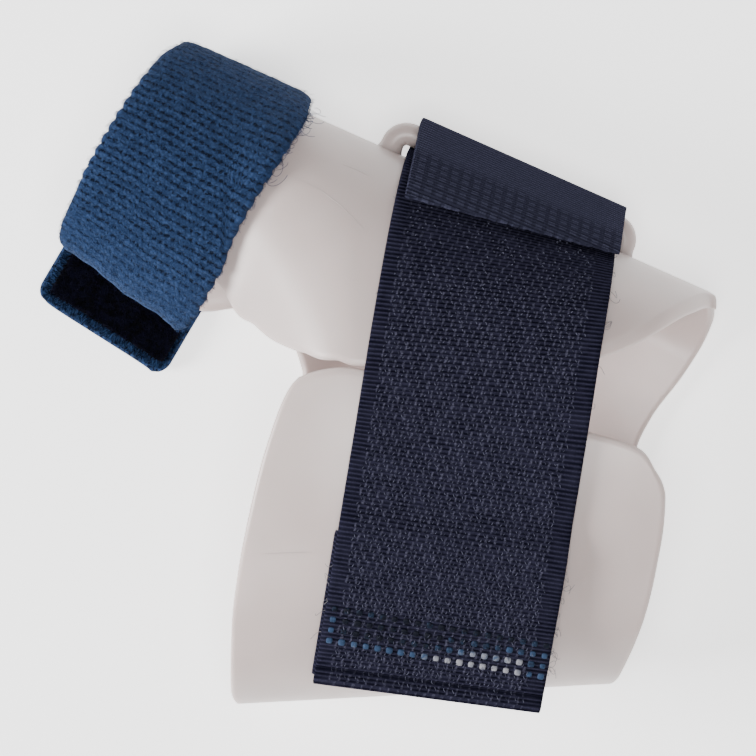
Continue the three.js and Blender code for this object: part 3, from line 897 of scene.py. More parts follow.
@dataclass(frozen=True)
class TapeFinish:
    """Navy woven tape: ribbed edges, a ground with lighter strokes of painted glint for the hooks, and a
    dimpled back.

    Distances are millimetres on the tape. Places along it count from the bar, with the flap below 0.
    """

    dark: Colour = (0.0034, 0.0035, 0.0078)
    light: Colour = (0.0305, 0.0295, 0.0540)
    # Painted highlight: pale colour of the strokes that stand in for the glints on the hooks
    glint_strokes: Colour = (0.092, 0.092, 0.135)
    back_dark: Colour = (0.0105, 0.0106, 0.0198)
    back_light: Colour = (0.0500, 0.0515, 0.0850)
    edge: float = 2.6
    off_middle: float = 0.4
    soft: float = 0.2
    dimple_pitch: float = 1.95
    dimples_from: float = -22.5
    dimples_to: float = -18.5
    back_from: float = -4.0
    back_to: float = -3.0

    def strokes(self, n: Nodes, across: Socket, along: Socket, run: Socket) -> Socket:
        """Lay short strokes like bricks, one for each pair of ribs, every other pair half a column aside.

        Args:
            n: The material's nodes.
            across: Place across the tape.
            along: Place along the tape.
            run: Both together.

        Returns:
            How much each point belongs to a stroke, 0 to 1.
        """
        pair = n.math("DIVIDE", along, TAPE_RIB * 2)
        turn = n.math("SUBTRACT", n.math("FRACT", pair), 0.5)
        jitter = n.times(n.noise(run, 1.3, 2.0), 0.7)
        leaning = n.times_add(turn, 0.22, n.math("ADD", across, jitter))
        brick = n.times_add(n.math("FLOOR", pair), HOOK_COLUMN / 2, leaning)
        ends = n.span(n.math("ABSOLUTE", turn), 0.36, 0.5, 1.0, 0.1)
        stroke = n.times(n.span(n.wave(brick, HOOK_COLUMN), 0.74, 1.0), ends)
        return n.times(stroke, n.span(n.noise(run, 1.9, 3.0, 0.7), 0.36, 0.56, 0.25, 1.0))

    def dimples(self, n: Nodes, across: Socket, along: Socket) -> Socket:
        """Return the sunk lines between the small squares pressed into the flap."""
        waves = n.math("MINIMUM", n.wave(across, self.dimple_pitch), n.wave(along, self.dimple_pitch))
        on_flap = n.span(along, self.dimples_from, self.dimples_to, 1.0, 0.0)
        return n.times(n.span(waves, 0.08, 0.5, 1.0, 0.0), on_flap)

    def material(self) -> bpy.types.Material:
        """Build the material."""
        n = Nodes("hook_tape")
        across, along, run = n.run()
        inner = TAPE_WIDTH / 2 - self.edge
        from_middle = n.math("ABSOLUTE", n.math("ADD", across, self.off_middle))
        selvage = n.span(from_middle, inner - self.soft, inner + self.soft)
        rib = n.wave(along, TAPE_RIB)
        back = n.span(along, self.back_from, self.back_to, 1.0, 0.0)
        glint_strokes = n.times(self.strokes(n, across, along, run), n.times_add(n.field("bare"), -0.7, 1.0))
        glint_strokes = n.times(glint_strokes, n.times_add(back, -0.8, 1.0))
        ground = n.times_add(glint_strokes, 0.45, n.times(n.span(rib, 0.0, 0.55), 0.6))
        height = n.choose(selvage, ground, rib)
        yarn = n.noise(run, 3.4, 4.0, 0.75)
        thread = n.noise(run, 0.35, 2.0)
        share = n.times(height, n.span(yarn, 0.25, 0.8, 0.35, 1.15))
        dimple = self.dimples(n, across, along)
        tone = n.colour(share, self.dark, self.light)
        tone = n.colour(n.span(thread, 0.35, 0.7, 0.0, 0.25), tone, self.light)
        # Painted highlight: the strokes, off the ribbed edges, take the pale glint colour
        lit = n.times(n.times(glint_strokes, n.math("SUBTRACT", 1.0, selvage)), n.span(yarn, 0.35, 0.7, 0.1, 0.9))
        tone = n.colour(lit, tone, self.glint_strokes)
        # Painted shade: the creases near the hem's fold are darkened towards the dark tone
        tone = n.colour(n.field("crease"), tone, self.dark)
        shade = n.times(n.math("ADD", share, 0.25), n.times_add(dimple, -0.5, 1.0))
        tone = n.colour(back, tone, n.colour(shade, self.back_dark, self.back_light))
        normal = n.bump(height, 0.24)
        normal = n.bump(yarn, 0.07, 0.6, normal)
        normal = n.bump(n.math("SUBTRACT", 1.0, dimple), 0.16, 0.8, normal)
        rough = n.math("MAXIMUM", n.times_add(yarn, -0.25, 0.82), back)
        return n.finish(Base_Color=tone, Roughness=rough, Normal=normal, Specular_IOR_Level=0.0)


@dataclass(frozen=True)
class KnitFinish:
    """Blue yarn, knitted in rows of small pits and brushed flat at the free end."""

    dark: Colour = (0.0012, 0.0045, 0.017)
    light: Colour = (0.032, 0.066, 0.168)
    stitch: float = 1.18
    rib: float = 1.3
    slant: float = 0.62

    def material(self) -> bpy.types.Material:
        """Build the material."""
        n = Nodes("knit")
        across, along, run = n.run()
        wander = n.noise(run, 0.55, 2.0)
        shake = n.noise(run, 1.6, 2.0)
        bent = n.times_add(shake, 0.95, n.times_add(wander, 0.4, along))
        slid = n.times_add(shake, 2.6, across)
        row = n.span(n.wave(bent, self.rib), 0.55, 0.98)
        stitch = n.span(n.wave(n.times_add(bent, self.slant, slid), self.stitch), 0.2, 0.8, 0.12, 1.0)
        pit = n.times(row, stitch)
        fibre = n.span(n.noise(run, 3.4, 5.0, 0.8), 0.3, 0.7)
        cells = {"Vector": run, "Scale": 1.5, "Randomness": 0.9}
        lumps = n.node("ShaderNodeTexVoronoi", cells, feature="F1").outputs[0]
        lump = n.span(lumps, 0.0, 0.7, 1.0, 0.0)
        knit = n.times_add(pit, -0.66, n.times_add(lump, 0.42, 0.40))
        flat = n.times_add(pit, -0.24, n.times_add(lump, 0.28, 0.46))
        height = n.choose(n.field("brushed"), knit, flat)
        share = n.span(n.times_add(fibre, 0.42, height), 0.08, 1.2)
        normal = n.bump(height, 0.5)
        return n.finish(
            Base_Color=n.colour(share, self.dark, self.light),
            Roughness=0.92,
            Normal=n.bump(fibre, 0.14, 0.9, normal),
            Sheen_Weight=0.12,
            Sheen_Roughness=0.4,
            Sheen_Tint=(0.45, 0.6, 0.9, 1.0),
            Specular_IOR_Level=0.1,
        )


@dataclass(frozen=True)
class FibreFinish:
    """Thread or filament: one colour pair, broken up along its length."""

    name: str
    dark: Colour
    light: Colour
    roughness: float
    specular: float
    streaks: float = 0.2
    streak_scale: float = 900.0
    grain_scale: float = 4000.0

    def material(self) -> bpy.types.Material:
        """Build the material."""
        n = Nodes(self.name)
        place = n.place()
        streak = n.noise(place, self.streak_scale, 3.0, 0.7)
        return n.finish(
            Base_Color=n.colour(n.span(streak, 0.35, 0.65), self.dark, self.light),
            Roughness=n.times_add(streak, self.streaks, self.roughness - self.streaks / 2),
            Normal=n.bump(n.noise(place, self.grain_scale, 2.0), 0.02, 0.5),
            Specular_IOR_Level=self.specular,
        )


@dataclass(frozen=True)
class MeltFinish:
    """Melted nylon dots: dark, with painted blue and white highlights set by a field on the points."""

    # Painted highlights: blue and pale stand in for light on the glossy melted dots; dark is their own colour
    blue: Colour = (0.023, 0.046, 0.096)
    pale: Colour = (0.235, 0.232, 0.258)
    dark: Colour = (0.0015, 0.0024, 0.0075)
    mottle_scale: float = 1500.0
    mottle_share: float = 0.12

    def material(self) -> bpy.types.Material:
        """Build the material."""
        n = Nodes("melted_tape")
        mottle = n.noise(n.place(), self.mottle_scale, 3.0, 0.7)
        uneven = n.span(mottle, 0.3, 0.7, -self.mottle_share, self.mottle_share)
        highlight_share = n.math("ADD", n.field("weld_highlight"), uneven)
        tone = n.colour(n.span(highlight_share, 0.0, 0.5), self.dark, self.blue)
        tone = n.colour(n.span(highlight_share, 0.45, 1.0), tone, self.pale)
        normal = n.bump(mottle, 0.06, 0.7)
        return n.finish(Base_Color=tone, Roughness=0.6, Normal=normal, Specular_IOR_Level=0.12)


class Finish(Enum):
    """The finishes that pieces share."""

    PLASTIC = PlasticFinish()
    TAPE = TapeFinish()
    KNIT = KnitFinish()
    # The hooks' dark tone is their own navy; the paler tone mixed along each hook is painted glint
    HOOK = FibreFinish("hook_filament", (0.014, 0.015, 0.028), (0.104, 0.107, 0.155), 0.65, 0.15)
    YARN = FibreFinish("blue_yarn", (0.003, 0.009, 0.030), (0.026, 0.050, 0.125), 0.9, 0.08)
    PATCH = FibreFinish("patch_pile", (0.0002, 0.0002, 0.0010), (0.0024, 0.0025, 0.0085), 0.75, 0.04)
    LOOSE = FibreFinish("loose_filament", (0.05, 0.05, 0.065), (0.19, 0.18, 0.19), 0.4, 0.5)
    OVERLOCK = FibreFinish("overlock_yarn", (0.0008, 0.0024, 0.0090), (0.0135, 0.031, 0.079), 0.9, 0.06)
    MELT = MeltFinish()


class Palette:
    """Builds each finish once."""

    def __init__(self) -> None:
        """Start with no material built."""
        self.built: dict[Finish, bpy.types.Material] = {}

    def get(self, finish: Finish) -> bpy.types.Material:
        """Return a finish's material, built on its first use."""
        if finish not in self.built:
            self.built[finish] = finish.value.material()
        return self.built[finish]


def settle(piece: bpy.types.Object, slot: str, *nodes: str) -> bpy.types.Object:
    """Tie a piece to the frame.

    Args:
        piece: The piece.
        slot: Its material slot, not used.
        nodes: The CAD nodes that it stands for, if any.

    Returns:
        The piece.
    """
    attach(piece, BODY)
    if nodes:
        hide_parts(*nodes)
    return piece


# Shell

# Plan places along the faint lines left by the mould
MOULD_LINES = (
    (((-27.1, 42.6), (-23.1, 40.6), (-19.8, 38.0), (-15.5, 33.7)), upper_section),
    (((-20.1, 44.9), (-17.6, 43.9), (-14.9, 42.6)), upper_section),
    (((-32.5, -18.2), (-24.1, -17.8)), lower_section),
)


@dataclass
class Block:
    """Band of rows round the shell. It has no finger outline where the gutter's rim ends it."""

    surface: Surface
    count: int
    finger: Curve | None
    wrist: Curve


@dataclass
class ShellBuilder:
    """The moulded shell, its bar and the faint lines that the mould leaves."""

    palette: Palette
    hand_columns: int = 120
    thumb_columns: int = 34
    search_steps: int = 36
    rim_steps: int = 16
    rim: float = 0.45
    lip: float = 1.6
    lip_from: float = 6.0
    lip_to: float = 20.0
    bar_bend: float = BAR_RADIUS * 1.3
    bar_flare: float = 0.55
    bar_sides: int = 28
    leg_steps: int = 12
    bend_steps: int = 13
    straight_steps: int = 23
    line_radius: float = 0.09
    line_steps: int = 40
    line_sink: float = 0.10
    line_rise: float = 0.06

    def meet(self, rows: Curve, edge: Curve, low: float, high: float, count: int) -> np.ndarray:
        """Find by halving where each row meets an outline given as x for each y.

        Args:
            rows: Points of all rows for an x in each.
            edge: The outline.
            low: Where the search starts.
            high: Where it ends.
            count: Number of rows.

        Returns:
            One x for each row.
        """
        start = np.full((count, 1), low)
        end = np.full((count, 1), high)
        for _ in range(self.search_steps):
            middle = (start + end) / 2
            inside = middle < edge(rows(middle)[..., 1])
            start = np.where(inside, middle, start)
            end = np.where(inside, end, middle)
        return (start + end) / 2

    def thumb_rim(self, rows: Curve, count: int) -> np.ndarray:
        """Find where each row meets the gutter's rim, a plane square to the crest."""
        rim_x = THUMB_RIM_SHARE * LENGTH
        slant = math.sin(THUMB_ANGLE) * math.cos(THUMB_ANGLE)
        x = np.full((count, 1), rim_x)
        for _ in range(self.rim_steps):
            x = rim_x - slant * (crest_at(x) - rows(x)[..., 1])
        return x

    def blocks(self) -> list[Block]:
        """List the bands of rows from the slit round the crest, the back and the fold to the slit again."""
        wrist, lower_wrist = outline(WRIST_RIM), outline(LOWER_WRIST_RIM)
        finger, back_finger = outline(LOWER_FINGER_RIM), outline(BACK_FINGER_RIM)

        def panel(s: np.ndarray, x: np.ndarray) -> np.ndarray:
            """Panel on the thumb's side, from the slit to the crest."""
            return upper_section(x).point(way_to_angle(slit_way(x / LENGTH)) * (1 - s), x)

        def lower(s: np.ndarray, x: np.ndarray) -> np.ndarray:
            """Panel on the little finger's side, from the fold to the slit."""
            return lower_section(x).point(mix(math.pi, way_to_angle(lower_way(x / LENGTH)), s), x)

        def gutter_back(s: np.ndarray, x: np.ndarray) -> np.ndarray:
            """Back wall from the crest's rounding to the line of the gutter's back edge."""
            return back_wall(middle_crest_at(x) - UNDER_RADIUS, gutter_back_edge(x), s, x)

        def hand_back(s: np.ndarray, x: np.ndarray) -> np.ndarray:
            """Back wall from that line to the fold's rounding."""
            return back_wall(gutter_back_edge(x), fold_at(x) + UNDER_RADIUS, s, x)

        return [
            Block(panel, 76, None, wrist),
            Block(lambda s, x: crest_under(s * QUARTER, x), 22, None, wrist),
            Block(gutter_back, 14, None, wrist),
            Block(hand_back, 22, back_finger, wrist),
            Block(lambda s, x: fold_under((1 - s) * QUARTER, x), 20, back_finger, wrist),
            Block(lower, 70, finger, lower_wrist),
        ]

    def wall_form(self) -> Form:
        """Build the shell's wall from its rows, which run from the fingers or the thumb to the wrist."""
        columns = np.linspace(0, 1, self.hand_columns + 1)
        thumb_shares = np.linspace(0, 1, self.thumb_columns + 1)[:-1]
        hand, thumb = [], []
        for index, block in enumerate(self.blocks()):
            s = np.linspace(0, 1, block.count + 1)[0 if index == 0 else 1 :][:, None]
            rows = partial(block.surface, s)
            end = self.meet(rows, block.wrist, 0.0, 0.5 * LENGTH, len(s))
            if block.finger is None:
                start = np.full((len(s), 1), WEB_SHARE * LENGTH)
                tip = self.thumb_rim(rows, len(s))
                thumb.append(rows(mix(tip, start, thumb_shares)))
            else:
                start = self.meet(rows, block.finger, -0.45 * LENGTH, 0.0, len(s))
            hand.append(rows(mix(start, end, columns)))
        hand_grid = np.concatenate(hand)
        thumb_grid = np.concatenate(thumb)
        count = len(thumb_grid)
        hand_points = hand_grid.shape[0] * hand_grid.shape[1]
        numbers = np.empty((count, self.thumb_columns + 1), dtype=int)
        numbers[:, :-1] = hand_points + np.arange(count * self.thumb_columns).reshape(count, -1)
        numbers[:, -1] = np.arange(count) * (self.hand_columns + 1)
        corners = [numbers[:-1, :-1], numbers[:-1, 1:], numbers[1:, 1:], numbers[1:, :-1]]
        gutter = np.stack(corners, axis=-1).reshape(-1, 4)
        quads = np.concatenate([grid_quads(*hand_grid.shape[:2]), gutter])
        points = np.concatenate([hand_grid.reshape(-1, 3), thumb_grid.reshape(-1, 3)])
        lip = np.zeros(len(points))
        slit_x = hand_grid[0, :, 0]
        lip[: len(slit_x)] = self.lip * smooth(slit_x, self.lip_from, self.lip_to)
        return wall(points, quads, HALF_WALL, HALF_WALL, self.rim, lip=lip)

    def bar_form(self) -> Form:
        """Build the round bar: two legs, two rounded elbows and a straight run, flared at the roots."""
        span = TAPE_WIDTH + 2 * BAR_RADIUS + 2 * STRAP_ROOM
        middle = along_crest(TAPE_START)
        left = middle - span / 2
        elbow = self.bar_bend - BAR_STAND_OFF
        turn = np.linspace(0, QUARTER, self.bend_steps + 1)[1:]
        legs = np.linspace(HALF_WALL, elbow, self.leg_steps)
        straight = np.linspace(left + self.bar_bend, middle, self.straight_steps + 1)[1:]
        q = np.concatenate([
            np.full(self.leg_steps, left), left + self.bar_bend * (1 - np.cos(turn)), straight
        ])
        p = np.concatenate([
            legs, elbow - self.bar_bend * np.sin(turn), np.full(self.straight_steps, -BAR_STAND_OFF)
        ])
        q = np.concatenate([q, 2 * middle - q[-2::-1]])
        p = np.concatenate([p, p[-2::-1]])
        near_root = smooth(p, -BAR_STAND_OFF / 2, HALF_WALL)
        radius = BAR_RADIUS + self.bar_flare * near_root**2
        return tubes(crest_frame(q, p, CREST_LEVEL)[None], radius[None], self.bar_sides)

    def mould_line_form(self) -> Form:
        """Build the faint raised lines that the mould leaves on the panels, which fade at both ends."""
        paths = []
        swell = np.sin(math.pi * np.linspace(0, 1, self.line_steps)) ** 0.5
        height = HALF_WALL - self.line_sink + self.line_rise * swell
        for rows, section_at in MOULD_LINES:
            xs, ys = np.array(rows).T
            x = np.linspace(xs[0], xs[-1], self.line_steps)
            paths.append(over_shell(section_at, x, np.interp(x, xs, ys), height, QUARTER * 0.9))
        return tubes(np.array(paths), self.line_radius, 8)

    def build(self) -> list[bpy.types.Object]:
        """Make the pieces."""
        material = self.palette.get(Finish.PLASTIC)
        shell = make_object("shell_wall", self.wall_form(), material)
        bar = make_object("strap_bar", self.bar_form(), material)
        lines = make_object("mould_lines", self.mould_line_form(), material)
        settle(lines, "polyethylene")
        return [settle(shell, "polyethylene", "shell"), settle(bar, "polyethylene", "shell"), lines]


# Hand strap


@dataclass
class Ribbon:
    """Mid-surface of a tape as lines along it, with its tape coordinates and normals."""

    points: np.ndarray
    run: np.ndarray
    facing: float = 1.0

    def quads(self) -> np.ndarray:
        """List the ribbon's quads."""
        return grid_quads(*self.points.shape[:2])

    def sample(self, across: np.ndarray, row: np.ndarray, height: Number) -> tuple[np.ndarray, np.ndarray]:
        """Find points and local axes on the ribbon.

        Args:
            across: Share across, 0 to 1.
            row: Place along, counted in rows.
            height: Height over the mid-surface.

        Returns:
            The points, and for each the directions across, along and out of the surface.
        """
        lines, rows = self.points.shape[:2]
        a = np.clip(across * (lines - 1), 0, lines - 1.001)
        b = np.clip(row, 0, rows - 1.001)
        i, j = a.astype(int), b.astype(int)
        s, t = (a - i)[:, None], (b - j)[:, None]
        p = self.points
        point = (
            p[i, j] * (1 - s) * (1 - t) + p[i + 1, j] * s * (1 - t)
            + p[i, j + 1] * (1 - s) * t + p[i + 1, j + 1] * s * t
        )
        side = unit(p[i + 1, j] - p[i, j])
        along = unit(p[i, j + 1] - p[i, j])
        out = unit(np.cross(along, side)) * self.facing
        point = point + out * np.asarray(height).reshape(-1, 1)
        return point, np.stack([side, along, out], axis=1)


def weft_slant(across: np.ndarray, along: np.ndarray) -> np.ndarray:
    """Shift of the weft along the tape, which runs slightly askew over the middle of the main run."""
    return 0.075 * across * smooth(along, 5.0, 20.0) * (1 - smooth(along, 48.0, 64.0))


@dataclass
class HandStrapBuilder:
    """The hook tape round the bar, its hooks, its weld dots and its loose filaments.

    A place along the tape is its true length from the crest. The hem's fold begins at the place end.
    """

    palette: Palette
    random: np.random.Generator
    lines: int = 56
    flap_rows: int = 22
    turn_rows: int = 26
    main_rows: int = 240
    fold_rows: int = 10
    hem_rows: int = 60
    base: float = HALF_WALL + GAP + TAPE_THICKNESS / 2
    step: float = TAPE_THICKNESS + GAP
    rim: float = 0.2
    flap_end_share: float = 0.35
    hem_aside: float = 0.012
    crease: float = 2.0
    thin_crease: float = 1.0
    crease_depth: float = 0.35
    dull_from: float = 21.0
    dull_to: float = 38.0
    hook_radius: float = 0.048
    hook_bow: float = 0.2
    hook_rise: float = 0.28
    hook_foot: float = 0.15
    weld_columns: int = 19
    weld_rows: int = 4
    weld_from_end: float = 7.4
    weld_slant: float = 1.3
    weld_pitch: float = 1.93
    weld_half: float = 0.46
    weld_height: float = 0.26
    loose_count: int = 34
    loose_radius: float = 0.035

    def tape_point(self, across: np.ndarray, s: np.ndarray, height: Number) -> np.ndarray:
        """Find points of the tape's middle layer.

        Args:
            across: Share across, -0.5 to 0.5.
            s: Level run from the crest.
            height: Height over the middle of the shell's wall.

        Returns:
            The points.
        """
        lean = (
            TAPE_LEAN
            + (THUMB_ANGLE - TAPE_LEAN) * np.exp(-s / TAPE_SETTLE)
            - (TAPE_LEAN - TAPE_END_LEAN) * (s / TAPE_LENGTH) ** 2
        )
        x = TAPE_START - s * math.sin(TAPE_LEAN) + across * TAPE_WIDTH * np.cos(lean)
        y = middle_crest_at(TAPE_START) - s * math.cos(TAPE_LEAN) - across * TAPE_WIDTH * np.sin(lean)
        return over_shell(lower_section, x, y, height, TAPE_LIFT)

    def flap(self, across: np.ndarray) -> np.ndarray:
        """Find the lines of the flap and of its turn round the bar.

        The flap leaves the bar on a straight line that touches the main run. From there it lies on the run.

        Args:
            across: Share across of each line.

        Returns:
            Points of each line, from the flap's end to the crest.
        """
        radius = BAR_RADIUS + GAP + TAPE_THICKNESS / 2
        origin = crest_frame(0.0, 0.0, 0.0)
        start = self.tape_point(across, np.zeros_like(across), self.base)
        slant = math.sin(THUMB_ANGLE - FLAP_LEAN)
        fray = 0.05 * np.sin(across * 61) + 0.04 * np.sin(across * 143 + 1)
        reach = np.maximum(FLAP_REACH - (across + 0.5) * TAPE_WIDTH * slant + fray, GAP)
        share = np.linspace(0, 1, self.flap_rows + 1)
        s = reach[:, None] * share**2
        x = start[:, :1] - s * math.sin(TAPE_LEAN)
        y = middle_crest_at(start[:, :1]) - s * math.cos(TAPE_LEAN)
        lying = over_shell(lower_section, x, y, self.base + self.step, TAPE_LIFT)
        away_p = (lying - origin) @ CREST_SQUARE + BAR_STAND_OFF
        away_z = lying[..., 2] - CREST_LEVEL
        distance = np.hypot(away_p, away_z)
        slope = np.arctan2(away_z, away_p) - np.arcsin(np.clip(radius / distance, 0, 1))
        slope = np.where(distance > radius, slope, -1.0)
        touch = np.argmax(slope, axis=1)
        pick = np.arange(len(across))
        leave = slope[pick, touch] + QUARTER
        q = (start - origin) @ CREST_DIRECTION

        def on_bar(angle: np.ndarray) -> np.ndarray:
            """Return the tape's points round the bar."""
            p = radius * np.cos(angle) - BAR_STAND_OFF
            return crest_frame(q[:, None], p, CREST_LEVEL + radius * np.sin(angle))

        leaving = on_bar(leave[:, None])
        count = np.maximum(touch, 1)[:, None, None]
        number = np.arange(self.flap_rows + 1)[None, :, None]
        taut = leaving + (lying[pick, touch][:, None] - leaving) * np.minimum(number / count, 1)
        flap = np.where(number < count, taut, lying)[:, ::-1]
        turn = np.linspace(0, 1, self.turn_rows + 1)[1:-1]
        return np.concatenate([flap, on_bar(mix(leave[:, None], TURN, turn))], axis=1)

    def ribbon(self) -> Ribbon:
        """Build the tape's mid-surface: flap, turn round the bar, main run, fold and hem."""
        across = np.linspace(-0.5, 0.5, self.lines + 1)
        flap = self.flap(across)
        hem_start = TAPE_LENGTH - HEM_LENGTH
        s = np.linspace(0, 1, self.main_rows + 1) ** 1.25 * TAPE_LENGTH
        grid_s = np.broadcast_to(s, (len(across), len(s)))
        grid_a = np.broadcast_to(across[:, None], grid_s.shape)
        climb = self.step * smooth(grid_s, hem_start - HEM_RAMP, hem_start - GAP)
        from_end = TAPE_LENGTH - grid_s
        grooves = bell(from_end, self.crease, 0.35) + 0.6 * bell(from_end, self.thin_crease, 0.25)
        main = self.tape_point(grid_a, grid_s, self.base + climb - self.crease_depth * grooves)
        turn = np.linspace(0, math.pi, self.fold_rows + 2)[1:-1]
        half_step = self.step / 2
        fold = self.tape_point(
            *np.broadcast_arrays(across[:, None], TAPE_LENGTH + half_step * np.sin(turn)),
            self.base + half_step * (1 + np.cos(turn)),
        )
        back = np.linspace(TAPE_LENGTH, hem_start, self.hem_rows)
        hem = self.tape_point(*np.broadcast_arrays(across[:, None] - self.hem_aside, back), self.base)
        points = np.concatenate([flap, main, fold, hem], axis=1)
        steps = np.linalg.norm(np.diff(points, axis=1), axis=2)
        length = np.concatenate([np.zeros((len(across), 1)), np.cumsum(steps, axis=1)], axis=1)
        length -= length[:, flap.shape[1]][:, None]
        middle = np.broadcast_to(length[self.lines // 2], length.shape)
        wide = np.broadcast_to(across[:, None] * TAPE_WIDTH, length.shape)
        on_flap = np.arange(length.shape[1]) < flap.shape[1]
        along = np.where(on_flap, length, middle + weft_slant(wide, middle))
        return Ribbon(points, np.stack([wide, along], axis=-1))

    def row_of(self, ribbon: Ribbon, across: np.ndarray, along: np.ndarray) -> np.ndarray:
        """Find rows of the ribbon, by its middle line.

        Args:
            ribbon: The tape's mid-surface.
            across: Share across, 0 to 1.
            along: Place along the main run.

        Returns:
            Place in rows.
        """
        middle = ribbon.run[self.lines // 2, :, 1]
        wide = (across - 0.5) * TAPE_WIDTH
        return np.interp(along - weft_slant(wide, along), middle, np.arange(len(middle)))

    def hook_share(self, across: np.ndarray, along: np.ndarray, end: float) -> np.ndarray:
        """Work out how many of the hooks stand: few near the flap and in the weld, none in the crease.

        Args:
            across: Place across the tape.
            along: Place along it.
            end: Place of the hem's fold.

        Returns:
            The share of hooks that stand at each place.
        """
        weld_start = end - 14.0 + self.weld_slant * (across / TAPE_WIDTH + 0.5)
        share = np.where(along > weld_start, 0.28, 0.3 + 0.63 * smooth(along, self.dull_from, self.dull_to))
        in_crease = np.abs(end - self.crease - along) < 0.5
        return np.where(along > end - 6.6, np.where(in_crease, 0.0, 0.7), share)

    def hook_form(self, ribbon: Ribbon, end: float) -> Form:
        """Build the rows of small hooks, laid like bricks on every rib and bowed over to one side.

        Args:
            ribbon: The tape's mid-surface.
            end: Place of the hem's fold.

        Returns:
            The hooks.
        """
        columns = np.arange(-11, 10.5) * HOOK_COLUMN
        rows = np.arange(1, int((end - 0.4) / TAPE_RIB)) * TAPE_RIB + TAPE_RIB / 2
        a, v = (grid.ravel() for grid in np.meshgrid(columns, rows, indexing="ij"))
        even = (v / TAPE_RIB).astype(int) % 2 == 0
        brick = (v / (2 * TAPE_RIB)).astype(int) % 2
        a = a + 0.02 + HOOK_COLUMN / 2 * (1 - brick) + np.where(even, 0.1, -0.1)
        a = a + self.random.normal(0, 0.08, len(a))
        v = v + self.random.normal(0, 0.07, len(v))
        keep = self.random.random(len(a)) < self.hook_share(a, v, end)
        a, v, even = a[keep], v[keep], even[keep]
        share = a / TAPE_WIDTH + 0.5
        origin, axes = ribbon.sample(share, self.row_of(ribbon, share, v), TAPE_THICKNESS / 2 - 0.05)
        turn = np.linspace(-0.2, 2.5, 6)
        bow = self.hook_bow * self.random.uniform(0.8, 1.2, len(a))[:, None]
        foot = np.zeros((len(a), 1))
        reach = np.concatenate([foot, bow * (1 - np.cos(turn))], axis=1)
        rise = np.concatenate([foot, self.hook_rise + bow * np.sin(turn)], axis=1)
        lean = np.where(even, 1.0, -1.0)[:, None] * self.random.uniform(0.35, 0.75, len(a))[:, None]
        return tubes(trace(origin, axes, reach * lean, reach - self.hook_foot, rise), self.hook_radius, 4)

    def dot_form(self) -> Form:
        """Build one weld dot, a dome on a rounded square."""
        sides, rings = 16, 6
        turns = np.linspace(0, TURN, sides + 1)[:-1]
        u, w = np.meshgrid(turns, np.linspace(0, QUARTER, rings), indexing="ij")
        cos, sin = np.cos(u), np.sin(u)
        reach = self.weld_half / (cos**4 + sin**4) ** 0.25 * np.cos(w) ** 0.5
        points = np.stack([reach * cos, reach * sin, self.weld_height * np.sin(w)], axis=-1)
        i, k = (grid.ravel() for grid in np.meshgrid(np.arange(sides), np.arange(rings - 1)))
        here = i * rings + k
        beside = (i + 1) % sides * rings + k
        return Form(points.reshape(-1, 3), np.stack([here, beside, beside + 1, here + 1], axis=1))

    def weld_piece(self, ribbon: Ribbon, end: float) -> bpy.types.Object:
        """Make the melted dots that weld the hem, in rows across the tape.

        Args:
            ribbon: The tape's mid-surface.
            end: Place of the hem's fold.

        Returns:
            The piece.
        """
        numbers = np.meshgrid(np.arange(self.weld_columns), np.arange(self.weld_rows), indexing="ij")
        c, r = (grid.ravel() for grid in numbers)
        across = c / (self.weld_columns - 1)
        a = -TAPE_WIDTH / 2 + 1.25 + across * (TAPE_WIDTH - 2.1)
        v = end - self.weld_from_end + self.weld_slant * across - r * self.weld_pitch
        share = a / TAPE_WIDTH + 0.5
        origin, axes = ribbon.sample(share, self.row_of(ribbon, share, v), TAPE_THICKNESS / 2 + 0.02)
        dot = self.dot_form()
        sizes = self.random.uniform(1.0, 1.25, (len(c), 1, 1))
        form = stamp(dot, origin, axes * sizes)
        # Painted highlight: share of the blue and white highlight on each dot, by row and across the tape
        by_row = [
            0.40 + 0.50 * smooth(across, 0.3, 0.55),
            0.04 + 0.74 * smooth(across, 0.4, 0.75),
            0.02 + 0.30 * smooth(across, 0.5, 0.95),
            0.01 + 0.12 * smooth(across, 0.6, 1.0),
        ]
        weld_highlight = np.choose(r, by_row)
        at_edge = (across > 0.93) | (across < 0.03)
        weld_highlight = np.where(at_edge & (r < 3), 0.4, weld_highlight) + self.random.normal(0, 0.07, len(c))
        piece = make_object("tape_weld_dots", form, self.palette.get(Finish.MELT))
        add_field(piece, "weld_highlight", np.repeat(weld_highlight, len(dot.points)))
        return piece

    def loose_form(self, ribbon: Ribbon, end: float) -> Form:
        """Build curled loose filaments along the tape's edges, most of them near the weld.

        Args:
            ribbon: The tape's mid-surface.
            end: Place of the hem's fold.

        Returns:
            The filaments.
        """
        count = self.loose_count
        side = np.where(self.random.random(count) < 0.7, 1.0, 0.0)
        near_weld = self.random.random(count) < 0.6
        low, high = self.random.uniform(end - 26, end - 6, count), self.random.uniform(4, end - 6, count)
        v = np.where(near_weld, low, high)
        origin, axes = ribbon.sample(side, self.row_of(ribbon, side, v), 0.2)
        t = np.linspace(0, 1, 12)[None]
        size = self.random.uniform(0.5, 1.7, count)[:, None]
        turns = self.random.uniform(2.0, 6.0, count)[:, None]
        phase = self.random.uniform(0, 6.28, count)[:, None]
        away = np.where(side > 0.5, 1.0, -1.0)[:, None]
        out = away * size * (0.25 + t) * np.abs(np.sin(turns * t * 0.6 + 0.2))
        up = size * 0.5 * np.sin(turns * t + phase) * t
        on = size * t * np.cos(turns * t + phase)
        return tubes(trace(origin, axes, out, on, up), self.loose_radius, 4)

